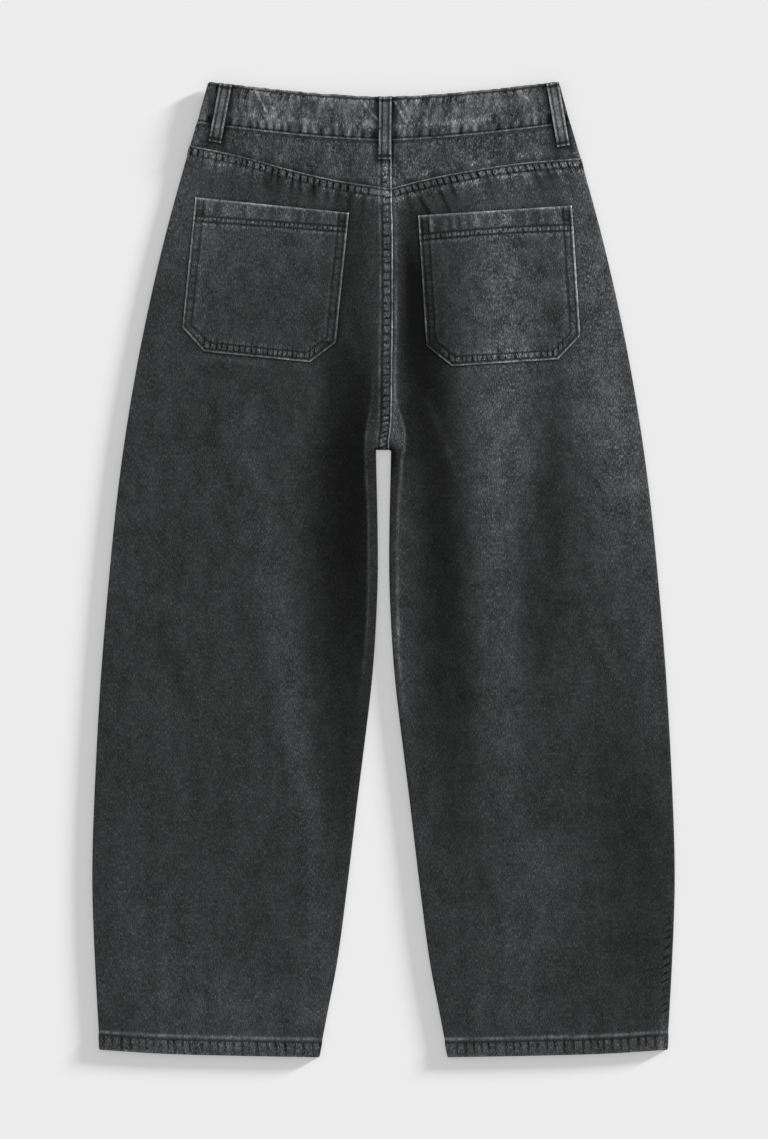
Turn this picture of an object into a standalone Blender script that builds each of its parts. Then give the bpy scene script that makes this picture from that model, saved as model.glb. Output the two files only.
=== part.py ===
"""Barrel-leg jeans with patch back pockets, closed and laid out flat with the back upwards.

Metres, +Z up. +Y runs from the hems to the waist, and +X to the wearer's right.
The origin is on the surface that the garment lies on, under the middle of its outline.
"""

import math

import bmesh
import bpy
from mathutils import Vector

# Cloth thicknesses, and the gap kept between two pieces that are sewn together
WALL = 0.0012
BAND_WALL = 0.0020
SEAM_GAP = 0.0003

# Outer radius of the soft fold along the side seams, the inseams and the crotch
FOLD_RADIUS = 0.0034
FOLD_TURNS = (0, 30, 60, 90)

# A felled seam and the turned-up hem are thicker than the plain cloth beside them
FELL_WIDTH = 0.0095
FELL_RISE = 0.0006
HEM_DEPTH = 0.0160
STEP = 0.0010

# Outline of one side, from hem to waist: level y, and half width to the outer edge
OUTER_EDGE = (
    (-0.4880, 0.2832),
    (-0.3910, 0.2886),
    (-0.3110, 0.2912),
    (-0.2310, 0.2892),
    (-0.1110, 0.2828),
    (0.0090, 0.2728),
    (0.0890, 0.2642),
    (0.1690, 0.2525),
    (0.2490, 0.2375),
    (0.3290, 0.2192),
    (0.4090, 0.1975),
    (0.4490, 0.1858),
    (0.4875, 0.1755),
)

# Inner edge of one leg, from hem to crotch: level y, and half the gap between the legs
INNER_EDGE = (
    (-0.4880, 0.0645),
    (-0.4400, 0.0553),
    (-0.3910, 0.0460),
    (-0.3110, 0.0355),
    (-0.2310, 0.0260),
    (-0.1710, 0.0185),
    (-0.1110, 0.0115),
    (-0.0510, 0.0073),
    (0.0090, 0.0056),
    (0.1190, 0.0075),
)
CROTCH_Y = 0.1190

# Hem of one leg, from inseam to side seam: distance from the middle x, and level y
HEM_EDGE = (
    (0.0645, -0.4875),
    (0.1380, -0.4862),
    (0.2200, -0.4840),
    (0.2835, -0.4800),
)

# Yoke seam of each side, outwards or inwards in rising x: x, and level y
YOKE_SEAM_LEFT = (
    (-0.2000, 0.4240),
    (-0.1400, 0.4112),
    (-0.0900, 0.3975),
    (-0.0420, 0.3868),
    (0.0070, 0.3795),
)
YOKE_SEAM_RIGHT = (
    (0.0070, 0.3795),
    (0.0320, 0.3868),
    (0.0750, 0.3962),
    (0.1350, 0.4055),
    (0.2000, 0.4108),
)

# Centre seams: the left back panel laps over the right one, and so does the left front
BACK_SEAM_X = 0.0070
FRONT_SEAM_X = 0.0015

# Waistband at the back: seam and top level in the middle, and how far each rises to the sides
WAIST_SEAM_Y, WAIST_SEAM_RISE = 0.4284, 0.0178
WAIST_TOP_Y, WAIST_TOP_RISE = 0.4722, 0.0153
WAIST_HALF_WIDTH = 0.1860
WAIST_CURVE = 1.5
FRONT_DIP = 0.0180

# The front of the waistband lies on the belt loops and, in the middle, on the button
WAIST_LIFT = 0.0019
BUTTON_LIFT = 0.0009
BUTTON_LIFT_REACH = 0.050
WAIST_RAMP = 0.070
LAP = 0.0200
LAP_RAMP_END = 0.0600
LAP_BULGE = 0.0010
LAP_BULGE_REACH = 0.080

# Fullness of the back over the flat front, and its largest folds
CROWN = 0.0005
CROWN_REACH = 0.0300
FOLDS = (
    # name, start x, start y, end x, end y, half width, height
    ("left thigh ridge", -0.140, 0.150, -0.060, -0.230, 0.045, 0.0006),
    ("left inner trough", -0.045, 0.190, -0.038, -0.110, 0.032, -0.0010),
    ("left shin ridge", -0.205, -0.150, -0.175, -0.400, 0.050, 0.0005),
    ("left seat ridge", -0.024, 0.345, -0.028, 0.170, 0.022, 0.0004),
    ("right inner trough", 0.027, 0.335, 0.050, 0.060, 0.032, -0.0009),
    ("right thigh ridge", 0.170, 0.170, 0.115, -0.160, 0.050, 0.0006),
    ("right shin trough", 0.235, -0.170, 0.228, -0.380, 0.042, -0.0008),
    ("right hem ridge", 0.130, -0.250, 0.150, -0.430, 0.045, 0.0005),
)

# Patch pockets: one size, each set at its own place and turn
POCKET_WIDTH = 0.1530
POCKET_DEPTH = 0.1520
POCKET_CORNER_ACROSS = 0.0240
POCKET_CORNER_UP = 0.0220
POCKET_HEM = 0.0205
POCKETS = (
    # name, x and y of the middle of the mouth, turn in degrees
    ("pocket_left", -0.1112, 0.3637, -5.8),
    ("pocket_right", 0.1114, 0.3583, 3.7),
)

# Belt loops: width, thickness, length, and the top and bottom of each one's middle line
LOOP_WIDTH = 0.0125
LOOP_WALL = 0.0015
LOOP_BOW = 0.0006
BACK_LOOPS = (
    # name, top x, bottom x, bottom y
    ("belt_loop_back_left", -0.1580, -0.1690, 0.4265),
    ("belt_loop_back_centre", 0.0013, 0.0005, 0.4092),
    ("belt_loop_back_right", 0.1688, 0.1798, 0.4225),
)
FRONT_LOOPS = (
    ("belt_loop_front_left", -0.1020),
    ("belt_loop_front_right", 0.1020),
)
FRONT_LOOP_WALL = 0.0012
FRONT_LOOP_LENGTH = 0.0590

# Shank button: half section, as radius and height over its lowest face
BUTTON_SECTION = (
    (0.0000, 0.0000),
    (0.0068, 0.0000),
    (0.0084, 0.0006),
    (0.0086, 0.0014),
    (0.0078, 0.0022),
    (0.0020, 0.0023),
)
BUTTON_SIDES = 24
BUTTONHOLE_FROM, BUTTONHOLE_TO = -0.0130, 0.0050
BUTTONHOLE_ROWS = (0.43, 0.57)

# How many cells the panels are divided into
PANEL_COLUMNS = 9
UPPER_ROWS = 8
LOWER_ROWS = 20
FRONT_COLUMNS = 7
FRONT_ROWS = 9
YOKE_COLUMNS = 11
POCKET_COLUMNS = 10


def clear_scene():
    for thing in list(bpy.data.objects):
        bpy.data.objects.remove(thing, do_unlink=True)


def finish_of(name, colour, roughness, metallic=0.0):
    material = bpy.data.materials.new(name)
    material.use_nodes = True
    shader = material.node_tree.nodes["Principled BSDF"]
    shader.inputs["Base Color"].default_value = (*colour, 1.0)
    shader.inputs["Roughness"].default_value = roughness
    shader.inputs["Metallic"].default_value = metallic
    return material


def mix(a, b, share):
    return a + (b - a) * share


def ease(share):
    """0 to 1 with a soft start and end."""
    share = min(max(share, 0.0), 1.0)
    return share * share * (3 - 2 * share)


def evenly(first, last, cells):
    """The ends of equal cells, without the first one."""
    return [mix(first, last, (k + 1) / cells) for k in range(cells)]


def curve_at(rows, place):
    """The value at a place on the smooth curve through (place, value) rows in rising order."""
    if place <= rows[0][0]:
        return rows[0][1]
    if place >= rows[-1][0]:
        return rows[-1][1]
    k = max(n for n in range(len(rows) - 1) if rows[n][0] <= place)

    def slope(n):
        low, high = rows[max(n - 1, 0)], rows[min(n + 1, len(rows) - 1)]
        return (high[1] - low[1]) / (high[0] - low[0])

    (x0, v0), (x1, v1) = rows[k], rows[k + 1]
    span = x1 - x0
    t = (place - x0) / span
    return (
        v0 * (2 * t**3 - 3 * t**2 + 1)
        + v1 * (3 * t**2 - 2 * t**3)
        + slope(k) * span * (t**3 - 2 * t**2 + t)
        + slope(k + 1) * span * (t**3 - t**2)
    )


def outer_x(y):
    return curve_at(OUTER_EDGE, y)


def inner_x(y):
    return curve_at(INNER_EDGE, y)


def hem_y(x):
    return curve_at(HEM_EDGE, abs(x))


def yoke_seam_y(x):
    return curve_at(YOKE_SEAM_LEFT if x < BACK_SEAM_X else YOKE_SEAM_RIGHT, x)


def rise_to_side(x):
    return min(abs(x) / WAIST_HALF_WIDTH, 1.0) ** WAIST_CURVE


def waist_seam_y(x):
    return WAIST_SEAM_Y + WAIST_SEAM_RISE * rise_to_side(x)


def waist_top_y(x):
    return WAIST_TOP_Y + WAIST_TOP_RISE * rise_to_side(x * WAIST_HALF_WIDTH / outer_x(0.4875))


def front_dip(x):
    """How much lower the front of the waist lies than the back."""
    return FRONT_DIP * (1 - min(abs(x) / WAIST_HALF_WIDTH, 1.0) ** 2)


def front_seam_y(x):
    return waist_seam_y(x) - front_dip(x)


def waist_lift(x):
    """Height of the underside of the waistband's front."""
    return WAIST_LIFT + BUTTON_LIFT * math.exp(-((x / BUTTON_LIFT_REACH) ** 2))


def front_lift(x, y):
    """Height of the underside of the front panels: flat but for a ramp up to the waistband."""
    return (waist_lift(x) + (BAND_WALL - WALL) / 2) * ease((y - front_seam_y(x)) / WAIST_RAMP + 1)


def lap_bulge(x):
    return LAP_BULGE * math.exp(-((x / LAP_BULGE_REACH) ** 2))


def edge_distance(x, y):
    """Distance inwards from the nearest outline edge, and the unit direction away from that edge."""
    side = -1.0 if x < 0 else 1.0
    tilt = (outer_x(y + STEP) - outer_x(y - STEP)) / (2 * STEP)
    away = Vector((-side, tilt)).normalized()
    found = [((outer_x(y) - abs(x)) / math.hypot(1, tilt), away)]
    gap = inner_x(CROTCH_Y)
    if y < CROTCH_Y:
        found.append((abs(x) - inner_x(y), Vector((side, 0.0))))
    elif abs(x) <= gap:
        found.append((y - CROTCH_Y, Vector((0.0, 1.0))))
    else:
        corner = Vector((abs(x) - gap, y - CROTCH_Y))
        length = max(corner.length, 1e-9)
        found.append((length, Vector((side * corner.x, corner.y)) / length))
    distance, away = min(found, key=lambda entry: entry[0])
    return max(distance, 0.0), away


def fold_height(x, y):
    """Sum of the folds: each is a soft bank across its line that fades out past its ends."""
    total = 0.0
    for _, x0, y0, x1, y1, half_width, height in FOLDS:
        line = Vector((x1 - x0, y1 - y0))
        reach = Vector((x - x0, y - y0))
        along = min(max(reach.dot(line) / line.length_squared, 0.0), 1.0)
        across = (reach - line * along).length / half_width
        if across < 1:
            total += height * (1 - across**2) ** 2
    return total


def crown(x, y, distance):
    """Fullness over the plain fold height, none at the edges and little at the waist."""
    at_waist = ease((y - yoke_seam_y(x) + WAIST_RAMP) / WAIST_RAMP)
    full = (CROWN + fold_height(x, y)) * (1 - at_waist) + lap_bulge(x) * at_waist
    return full * ease(distance / CROWN_REACH)


def back_surface(x, y):
    """A point on the outside of the back, without seam ridges, and the normal there."""
    distance, away = edge_distance(x, y)
    level = front_lift(x, y) + WALL + SEAM_GAP
    turned = math.acos(1 - min(distance / FOLD_RADIUS, 1.0))
    height = level + FOLD_RADIUS * math.sin(turned) + crown(x, y, distance)
    side = -away * math.cos(turned)
    normal = Vector((side.x, side.y, math.sin(turned))).normalized()
    return Vector((x, y, height)), normal


def cloth(name, columns, rows, place, material, skipped=()):
    """One closed wall of cloth. place(i, j) gives the outer and the inner point of a corner."""
    mesh = bmesh.new()
    bmesh.ops.create_grid(mesh, x_segments=columns, y_segments=rows, size=1.0)
    column_of = mesh.verts.layers.int.new("column")
    row_of = mesh.verts.layers.int.new("row")
    for corner in mesh.verts:
        corner[column_of] = round((corner.co.x + 1) / 2 * columns)
        corner[row_of] = round((corner.co.y + 1) / 2 * rows)
    holes = [
        face
        for face in mesh.faces
        if (min(v[column_of] for v in face.verts), min(v[row_of] for v in face.verts)) in skipped
    ]
    bmesh.ops.delete(mesh, geom=holes, context="FACES")
    outside = list(mesh.verts)
    made = bmesh.ops.extrude_face_region(mesh, geom=list(mesh.faces), use_keep_orig=True)
    inside = [part for part in made["geom"] if isinstance(part, bmesh.types.BMVert)]
    for which, corners in enumerate((outside, inside)):
        for corner in corners:
            corner.co = place(corner[column_of], corner[row_of])[which]
    bmesh.ops.recalc_face_normals(mesh, faces=mesh.faces)
    return placed(name, mesh, material)


def placed(name, mesh, material):
    data = bpy.data.meshes.new(name)
    mesh.to_mesh(data)
    mesh.free()
    data.materials.append(material)
    data.shade_smooth()
    data.set_sharp_from_angle(angle=math.radians(35))
    thing = bpy.data.objects.new(name, data)
    bpy.context.scene.collection.objects.link(thing)
    return thing


def row_end(row_y, edge_x, side):
    """Where a row meets an outline edge, found by going back and forth between the two."""
    x = edge_x(0.0)
    for _ in range(8):
        x = edge_x(row_y(side * x))
    return side * x


def across_panel(first, last, steps_in, steps_out, cells):
    """Column places from first to last, with close ones near each end for the folds."""
    direction = 1.0 if last > first else -1.0
    near = [first + direction * step for step in steps_in]
    far = [last - direction * step for step in reversed(steps_out)]
    return near + evenly(near[-1], far[0], cells)[:-1] + far


def fold_steps():
    """Distances from an outline edge at which the quarter-round fold is sampled."""
    return [FOLD_RADIUS * (1 - math.cos(math.radians(turn))) for turn in FOLD_TURNS]


def panel_rows():
    """Rows of a leg panel as (upper part or not, share of the way down that part)."""
    upper_depth = yoke_seam_y(BACK_SEAM_X) - CROTCH_Y
    lower_depth = CROTCH_Y - HEM_EDGE[0][1]
    fell = FELL_WIDTH / upper_depth
    near_crotch = [1 - step / upper_depth for step in reversed(fold_steps())]
    upper = [0.0, fell, fell + STEP / upper_depth]
    upper += evenly(upper[-1], near_crotch[0], UPPER_ROWS)[:-1] + near_crotch
    hem = 1 - HEM_DEPTH / lower_depth
    lower = evenly(0.0, hem - STEP / lower_depth, LOWER_ROWS) + [hem, 1.0]
    return [(True, share) for share in upper] + [(False, share) for share in lower]


def back_panel(name, side, material):
    """One back leg panel, from the yoke seam to the hem, with its felled edges and hem."""
    seam_x = BACK_SEAM_X if side < 0 else BACK_SEAM_X + SEAM_GAP
    lap = [BACK_SEAM_X, BACK_SEAM_X - FELL_WIDTH, BACK_SEAM_X - FELL_WIDTH - STEP]
    extra = lap if side < 0 else []
    rows = panel_rows()
    grid = []
    for upper, share in rows:

        def row_y(x, upper=upper, share=share):
            if upper:
                return mix(yoke_seam_y(x), CROTCH_Y, share)
            return mix(CROTCH_Y, hem_y(x), share)

        outer = row_end(row_y, outer_x, side)
        if not upper:
            inner = row_end(row_y, inner_x, side)
        else:
            inner = seam_x if side > 0 else -inner_x(CROTCH_Y)
        steps = fold_steps()
        places = extra + across_panel(inner, outer, steps, steps, PANEL_COLUMNS)
        grid.append([(x, row_y(x)) for x in places])

    def place(i, j):
        x, y = grid[j][i]
        point, normal = back_surface(x, y)
        upper, share = rows[j]
        felled = j <= 1 or (upper and side < 0 and i <= 1) or (j >= len(rows) - 2)
        rise = FELL_RISE if felled else 0.0
        return point + normal * rise, point - normal * WALL

    columns = len(grid[0]) - 1
    upper_rows = sum(1 for upper, _ in rows if upper)
    skipped = {(i, j) for i in range(len(extra)) for j in range(upper_rows - 1, len(rows))}
    return cloth(name, columns, len(rows) - 1, place, material, skipped)


def front_panel(name, side, material):
    """One front leg panel, flat on the surface from the waistband's front seam to the hem."""
    seam_x = FRONT_SEAM_X if side < 0 else FRONT_SEAM_X + SEAM_GAP
    upper = [0.0] + evenly(0.0, 1.0, FRONT_ROWS)
    lower = evenly(0.0, 1.0, FRONT_ROWS + 3)
    rows = [(True, share) for share in upper] + [(False, share) for share in lower]
    grid = []
    for is_upper, share in rows:

        def row_y(x, is_upper=is_upper, share=share):
            if is_upper:
                return mix(front_seam_y(x) - SEAM_GAP, CROTCH_Y, share**0.75)
            return mix(CROTCH_Y, hem_y(x), share)

        outer = row_end(row_y, outer_x, side)
        inner = side * inner_x(CROTCH_Y) if is_upper else row_end(row_y, inner_x, side)
        places = [seam_x, inner] + evenly(inner, outer, FRONT_COLUMNS)
        grid.append([(x, row_y(x)) for x in places])

    def place(i, j):
        x, y = grid[j][i]
        height = front_lift(x, y)
        return Vector((x, y, height)), Vector((x, y, height + WALL))

    skipped = {(0, j) for j in range(len(upper) - 1, len(rows))}
    return cloth(name, len(grid[0]) - 1, len(rows) - 1, place, material, skipped)


def yoke(name, side, material):
    """One half of the back yoke, between the waistband seam and the yoke seam."""
    seam_x = BACK_SEAM_X if side < 0 else BACK_SEAM_X + SEAM_GAP
    lap = [0.0, FELL_WIDTH, FELL_WIDTH + STEP]
    shares = [0.0, 0.34, 0.67, 1.0]
    grid = []
    for share in shares:

        def row_y(x, share=share):
            return mix(waist_seam_y(x) - SEAM_GAP, yoke_seam_y(x) + SEAM_GAP, share)

        outer = row_end(row_y, outer_x, side)
        places = across_panel(seam_x, outer, lap, fold_steps(), YOKE_COLUMNS)
        grid.append([(x, row_y(x)) for x in places])

    def place(i, j):
        point, normal = back_surface(*grid[j][i])
        rise = FELL_RISE if side < 0 and i <= 1 else 0.0
        return point + normal * rise, point - normal * WALL

    return cloth(name, len(grid[0]) - 1, len(shares) - 1, place, material)


def band_back_height(x):
    """Height of the outside of the waistband's back."""
    level = waist_lift(x) + (BAND_WALL - WALL) / 2 + WALL + SEAM_GAP
    return level + FOLD_RADIUS + lap_bulge(x) + (BAND_WALL - WALL) * 0.75


def band_section(half_width):
    """Middle line of the waistband in section: (x, z, share of front) from under-lap to lap."""
    side_height = band_back_height(half_width) - waist_lift(half_width)
    turn_radius = side_height / 2
    turn_x = half_width - turn_radius
    middle_radius = turn_radius - BAND_WALL / 2
    line = []

    def front(x, over):
        lifted = waist_lift(x) + BAND_WALL / 2 + (BAND_WALL + SEAM_GAP) * over
        line.append((x, lifted, 1.0))

    for x in (-LAP, -LAP / 3, LAP / 3, LAP + STEP):
        front(x, 1.0)
    for share in evenly(0.0, 1.0, 4):
        front(mix(LAP + STEP, LAP_RAMP_END, share), 1 - ease(share))
    for x in evenly(LAP_RAMP_END, turn_x, 6):
        front(x, 0.0)
    turn_z = waist_lift(half_width) + turn_radius
    for degrees in (-54, -18, 18, 54):
        angle = math.radians(degrees)
        line.append((
            turn_x + middle_radius * math.cos(angle),
            turn_z + middle_radius * math.sin(angle),
            0.5 - degrees / 180,
        ))
    for x in [turn_x] + evenly(turn_x, -turn_x, 24):
        line.append((x, band_back_height(x) - BAND_WALL / 2, 0.0))
    for degrees in (126, 162, 198, 234):
        angle = math.radians(degrees)
        line.append((
            -turn_x + middle_radius * math.cos(angle),
            turn_z + middle_radius * math.sin(angle),
            (degrees - 90) / 180,
        ))
    for x in [-turn_x] + evenly(-turn_x, BUTTONHOLE_FROM, 7):
        front(x, 0.0)
    for x in (BUTTONHOLE_TO, LAP):
        front(x, 0.0)
    return line


def waistband(material):
    """The waistband, a ring that is laid flat and lapped over itself at the front."""
    heights = (0.0, *BUTTONHOLE_ROWS, 0.94, 1.0)
    rows = []
    for height in heights:
        side_y = mix(waist_seam_y(WAIST_HALF_WIDTH), waist_top_y(WAIST_HALF_WIDTH), height)
        rows.append(band_section(outer_x(side_y)))

    def place(i, j):
        line = rows[j]
        x, z, front = line[i]
        before, after = line[max(i - 1, 0)], line[min(i + 1, len(line) - 1)]
        along = Vector((after[0] - before[0], after[1] - before[1])).normalized()
        outwards = Vector((along.y, -along.x))
        half = BAND_WALL / 2 * (0.6 if heights[j] == 1.0 else 1.0)
        y = mix(waist_seam_y(x), waist_top_y(x), heights[j]) - front_dip(x) * front
        outer = Vector((x + outwards.x * half, y, z + outwards.y * half))
        inner = Vector((x - outwards.x * half, y, z - outwards.y * half))
        return outer, inner

    columns = len(rows[0]) - 1
    buttonhole = {(columns - 2, heights.index(BUTTONHOLE_ROWS[0]))}
    return cloth("waistband", columns, len(heights) - 1, place, material, buttonhole)


def back_top(x, y):
    """Height of the uppermost cloth under a belt loop, with a soft step at the waistband."""
    on_band = ease((y - waist_seam_y(x)) / (4 * STEP) + 1)
    on_fell = abs(x) < LOOP_WIDTH and x > BACK_SEAM_X - FELL_WIDTH - STEP
    yoke_top = back_surface(x, y)[0].z + (FELL_RISE if on_fell else 0.0)
    return mix(yoke_top, band_back_height(x), on_band)


def pocket(name, mouth_x, mouth_y, turn, material):
    """One patch pocket with clipped lower corners, laid on the back panel."""
    angle = math.radians(turn)
    right = Vector((math.cos(angle), math.sin(angle)))
    down = Vector((math.sin(angle), -math.cos(angle)))
    straight = POCKET_DEPTH - POCKET_CORNER_UP
    downs = [0.0, POCKET_HEM, POCKET_HEM + STEP]
    downs += evenly(downs[-1], straight, 6)
    downs += [POCKET_DEPTH - FELL_WIDTH - STEP, POCKET_DEPTH - FELL_WIDTH, POCKET_DEPTH]
    half = POCKET_WIDTH / 2
    rim = [-half, FELL_WIDTH - half, FELL_WIDTH + STEP - half]
    places = rim + evenly(rim[-1], -rim[-1], POCKET_COLUMNS)[:-1] + [-x for x in reversed(rim)]

    def place(i, j):
        clipped = max(0.0, downs[j] - straight) * POCKET_CORNER_ACROSS / POCKET_CORNER_UP
        spot = right * (places[i] * (half - clipped) / half) + down * downs[j]
        x, y = mouth_x + spot.x, mouth_y + spot.y
        below = back_surface(x, y)[0].z + SEAM_GAP
        felled = i <= 1 or i >= len(places) - 2 or j <= 1 or j >= len(downs) - 2
        wall = WALL + (FELL_RISE if felled else 0.0)
        return Vector((x, y, below + wall)), Vector((x, y, below))

    return cloth(name, len(places) - 1, len(downs) - 1, place, material)


def belt_loop(name, top, bottom, surface, out, wall, material):
    """One belt loop, a strip laid on the cloth, bowed off it a little between its ends."""
    shares = [0.0, 0.06] + evenly(0.06, 0.94, 8) + [1.0]
    half = LOOP_WIDTH / 2
    places = (-half, -half / 2, 0.0, half / 2, half)
    along = (Vector(bottom) - Vector(top)).normalized()
    side = Vector((-along.y, along.x))

    def place(i, j):
        spot = Vector(top).lerp(Vector(bottom), shares[j]) + side * places[i]
        bow = LOOP_BOW * math.sin(math.pi * shares[j])
        rounded = wall * (0.7 if abs(places[i]) == half else 1.0)
        near = surface(spot.x, spot.y) + out * (SEAM_GAP + bow)
        return Vector((spot.x, spot.y, near + out * rounded)), Vector((spot.x, spot.y, near))

    return cloth(name, len(places) - 1, len(shares) - 1, place, material)


def front_underside(x, y):
    """Height of the lowest cloth of the front at a place."""
    on_band = ease((y - front_seam_y(x)) / (4 * STEP) + 1)
    return mix(front_lift(x, y), waist_lift(x), on_band)


def waist_button(material):
    """The shank button that closes the waistband, turned about its own axis."""
    under_lap = waist_lift(0.0) + BAND_WALL + SEAM_GAP
    stem = BUTTON_SECTION[-1][0]
    section = [*BUTTON_SECTION, (stem, under_lap - SEAM_GAP), (0.0, under_lap - SEAM_GAP)]
    centre_y = mix(waist_seam_y(0.0), waist_top_y(0.0), sum(BUTTONHOLE_ROWS) / 2) - FRONT_DIP
    mesh = bmesh.new()
    corners = [mesh.verts.new((radius, centre_y, height)) for radius, height in section]
    edges = [mesh.edges.new(pair) for pair in zip(corners, corners[1:])]
    bmesh.ops.spin(
        mesh,
        geom=corners + edges,
        cent=(0.0, centre_y, 0.0),
        axis=(0.0, 0.0, 1.0),
        angle=math.tau,
        steps=BUTTON_SIDES,
        use_merge=True,
    )
    bmesh.ops.remove_doubles(mesh, verts=mesh.verts, dist=1e-6)
    bmesh.ops.recalc_face_normals(mesh, faces=mesh.faces)
    return placed("waist_button", mesh, material)


def main():
    clear_scene()
    denim = finish_of("washed black denim", (0.048, 0.050, 0.051), 0.92)
    metal = finish_of("aged zinc", (0.20, 0.19, 0.18), 0.45, 1.0)
    for side, word in ((-1, "left"), (1, "right")):
        back_panel(f"back_leg_{word}", side, denim)
        front_panel(f"front_leg_{word}", side, denim)
        yoke(f"yoke_{word}", side, denim)
    waistband(denim)
    for name, x, y, turn in POCKETS:
        pocket(name, x, y, turn, denim)
    for name, top_x, bottom_x, bottom_y in BACK_LOOPS:
        top = (top_x, waist_top_y(top_x) - STEP)
        belt_loop(name, top, (bottom_x, bottom_y), back_top, 1, LOOP_WALL, denim)
    for name, x in FRONT_LOOPS:
        top_y = waist_top_y(x) - front_dip(x) - STEP
        low = (x, top_y - FRONT_LOOP_LENGTH)
        belt_loop(name, (x, top_y), low, front_underside, -1, FRONT_LOOP_WALL, denim)
    waist_button(metal)


main()
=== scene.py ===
# %% [markdown]
# # A pair of washed denim jeans, laid flat
#
# This lesson dresses a plain model of a pair of jeans. The plain model gives the size and
# the place of every sewn piece. Here each piece is made again as finer cloth, with folded
# edges, puckered seams, rows of stitches and a worn, stone-washed colour.
#
# All sizes below are in millimetres, because that is how a pattern cutter thinks. Only the
# last step of each piece turns them into Blender's metres.

# %% Load the plain model
import math

import bmesh
import bpy
import numpy as np
from mathutils import Matrix, Vector


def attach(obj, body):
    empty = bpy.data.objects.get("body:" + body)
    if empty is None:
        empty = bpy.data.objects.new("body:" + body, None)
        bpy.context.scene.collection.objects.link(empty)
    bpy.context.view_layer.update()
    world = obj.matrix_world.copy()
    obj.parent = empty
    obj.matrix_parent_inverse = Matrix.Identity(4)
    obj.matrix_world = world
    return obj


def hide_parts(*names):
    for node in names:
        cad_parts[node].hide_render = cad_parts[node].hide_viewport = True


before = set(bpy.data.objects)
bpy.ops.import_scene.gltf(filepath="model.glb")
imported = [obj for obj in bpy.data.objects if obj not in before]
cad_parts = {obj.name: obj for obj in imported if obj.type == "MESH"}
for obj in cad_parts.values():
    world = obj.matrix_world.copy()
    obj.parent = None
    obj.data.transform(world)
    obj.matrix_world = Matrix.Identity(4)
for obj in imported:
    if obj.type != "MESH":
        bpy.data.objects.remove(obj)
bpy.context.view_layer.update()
MM = 0.001
print("sewn pieces:", ", ".join(sorted(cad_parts)))

# %% [markdown]
# ## The camera and the room
#
# The jeans were photographed from straight above, so the camera looks down. A long lens
# from far away keeps both legs the same shape. One millimetre of cloth is one pixel of the
# picture, so the camera has to see a strip 1139 mm high.

# %% Camera
PICTURE_HEIGHT = 1139.0
PICTURE_MIDDLE = (0.5, -0.5)
LENS, SENSOR = 250.0, 36.0

lens = bpy.data.cameras.new("long_lens")
lens.lens = LENS
lens.sensor_fit = "VERTICAL"
lens.sensor_height = SENSOR
camera = bpy.data.objects.new("camera_above", lens)
bpy.context.scene.collection.objects.link(camera)
camera.location = (
    PICTURE_MIDDLE[0] * MM,
    PICTURE_MIDDLE[1] * MM,
    PICTURE_HEIGHT * MM * LENS / SENSOR,
)
bpy.context.scene.camera = camera
print("camera height:", round(camera.location.z, 3), "m")

# %% [markdown]
# The floor is one pale sheet of paper on a light table. Two things light it from above: an
# even bright sky, and a low sun from the upper right that draws the soft shadow along the
# left edges and below the hems. A second, higher sun is for the cloth alone, so that its
# seams stand out without every thread throwing a long shadow. Light linking says which sun
# reaches what. The sheet lies a hair below the cloth, so that the two never coincide.

# %% Floor
def link(thing):
    bpy.context.scene.collection.objects.link(thing)
    return thing


def to_object(name, mesh, material):
    """Turns a finished bmesh into an object with one material."""
    data = bpy.data.meshes.new(name)
    mesh.to_mesh(data)
    mesh.free()
    data.shade_smooth()
    data.materials.append(material)
    return link(bpy.data.objects.new(name, data))


def new_material(name, roughness, gloss):
    """A material, its node tree and its shader."""
    material = bpy.data.materials.new(name)
    material.use_nodes = True
    shader = material.node_tree.nodes["Principled BSDF"]
    shader.inputs["Roughness"].default_value = roughness
    shader.inputs["Specular IOR Level"].default_value = gloss
    return material, material.node_tree, shader


def paper_material(name):
    """Matt paper over a light table: a little of its brightness shines through from below."""
    material, _, shader = new_material(name, roughness=0.9, gloss=0.0)
    shader.inputs["Base Color"].default_value = (0.41, 0.41, 0.41, 1.0)
    shader.inputs["Emission Color"].default_value = (1.0, 1.0, 1.0, 1.0)
    shader.inputs["Emission Strength"].default_value = 0.28
    return material


FLOOR_METRES, FLOOR_DROP = 6.0, 0.15

mesh = bmesh.new()
bmesh.ops.create_grid(mesh, x_segments=1, y_segments=1, size=FLOOR_METRES)
floor = to_object("paper_floor", mesh, paper_material("pale_paper"))
floor.location.z = -FLOOR_DROP * MM

# %% Lights
bpy.context.scene.view_settings.view_transform = "Standard"
sky = bpy.data.worlds.new("even_sky")
sky.use_nodes = True
sky.node_tree.nodes["Background"].inputs["Color"].default_value = (1.0, 1.0, 1.0, 1.0)
sky.node_tree.nodes["Background"].inputs["Strength"].default_value = 0.71
bpy.context.scene.world = sky


def sun(name, from_right, from_top, elevation, width, strength, receivers=None):
    """A sun that shines from a direction in the picture, at an elevation in degrees."""
    light = bpy.data.lights.new(name, "SUN")
    light.energy = strength
    light.angle = math.radians(width)
    holder = link(bpy.data.objects.new(name, light))
    level = Vector((from_right, from_top, 0)).normalized()
    up = math.radians(elevation)
    towards = level * math.cos(up) + Vector((0, 0, math.sin(up)))
    holder.rotation_euler = towards.to_track_quat("Z", "Y").to_euler()
    if receivers:
        group = bpy.data.collections.new(name + "_reaches")
        for thing in receivers:
            group.objects.link(thing)
        holder.light_linking.receiver_collection = group
    return holder


sun(
    "shadow_sun", from_right=0.86, from_top=0.50, elevation=9.2, width=8.0, strength=13.3,
    receivers=[floor],
)

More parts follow.
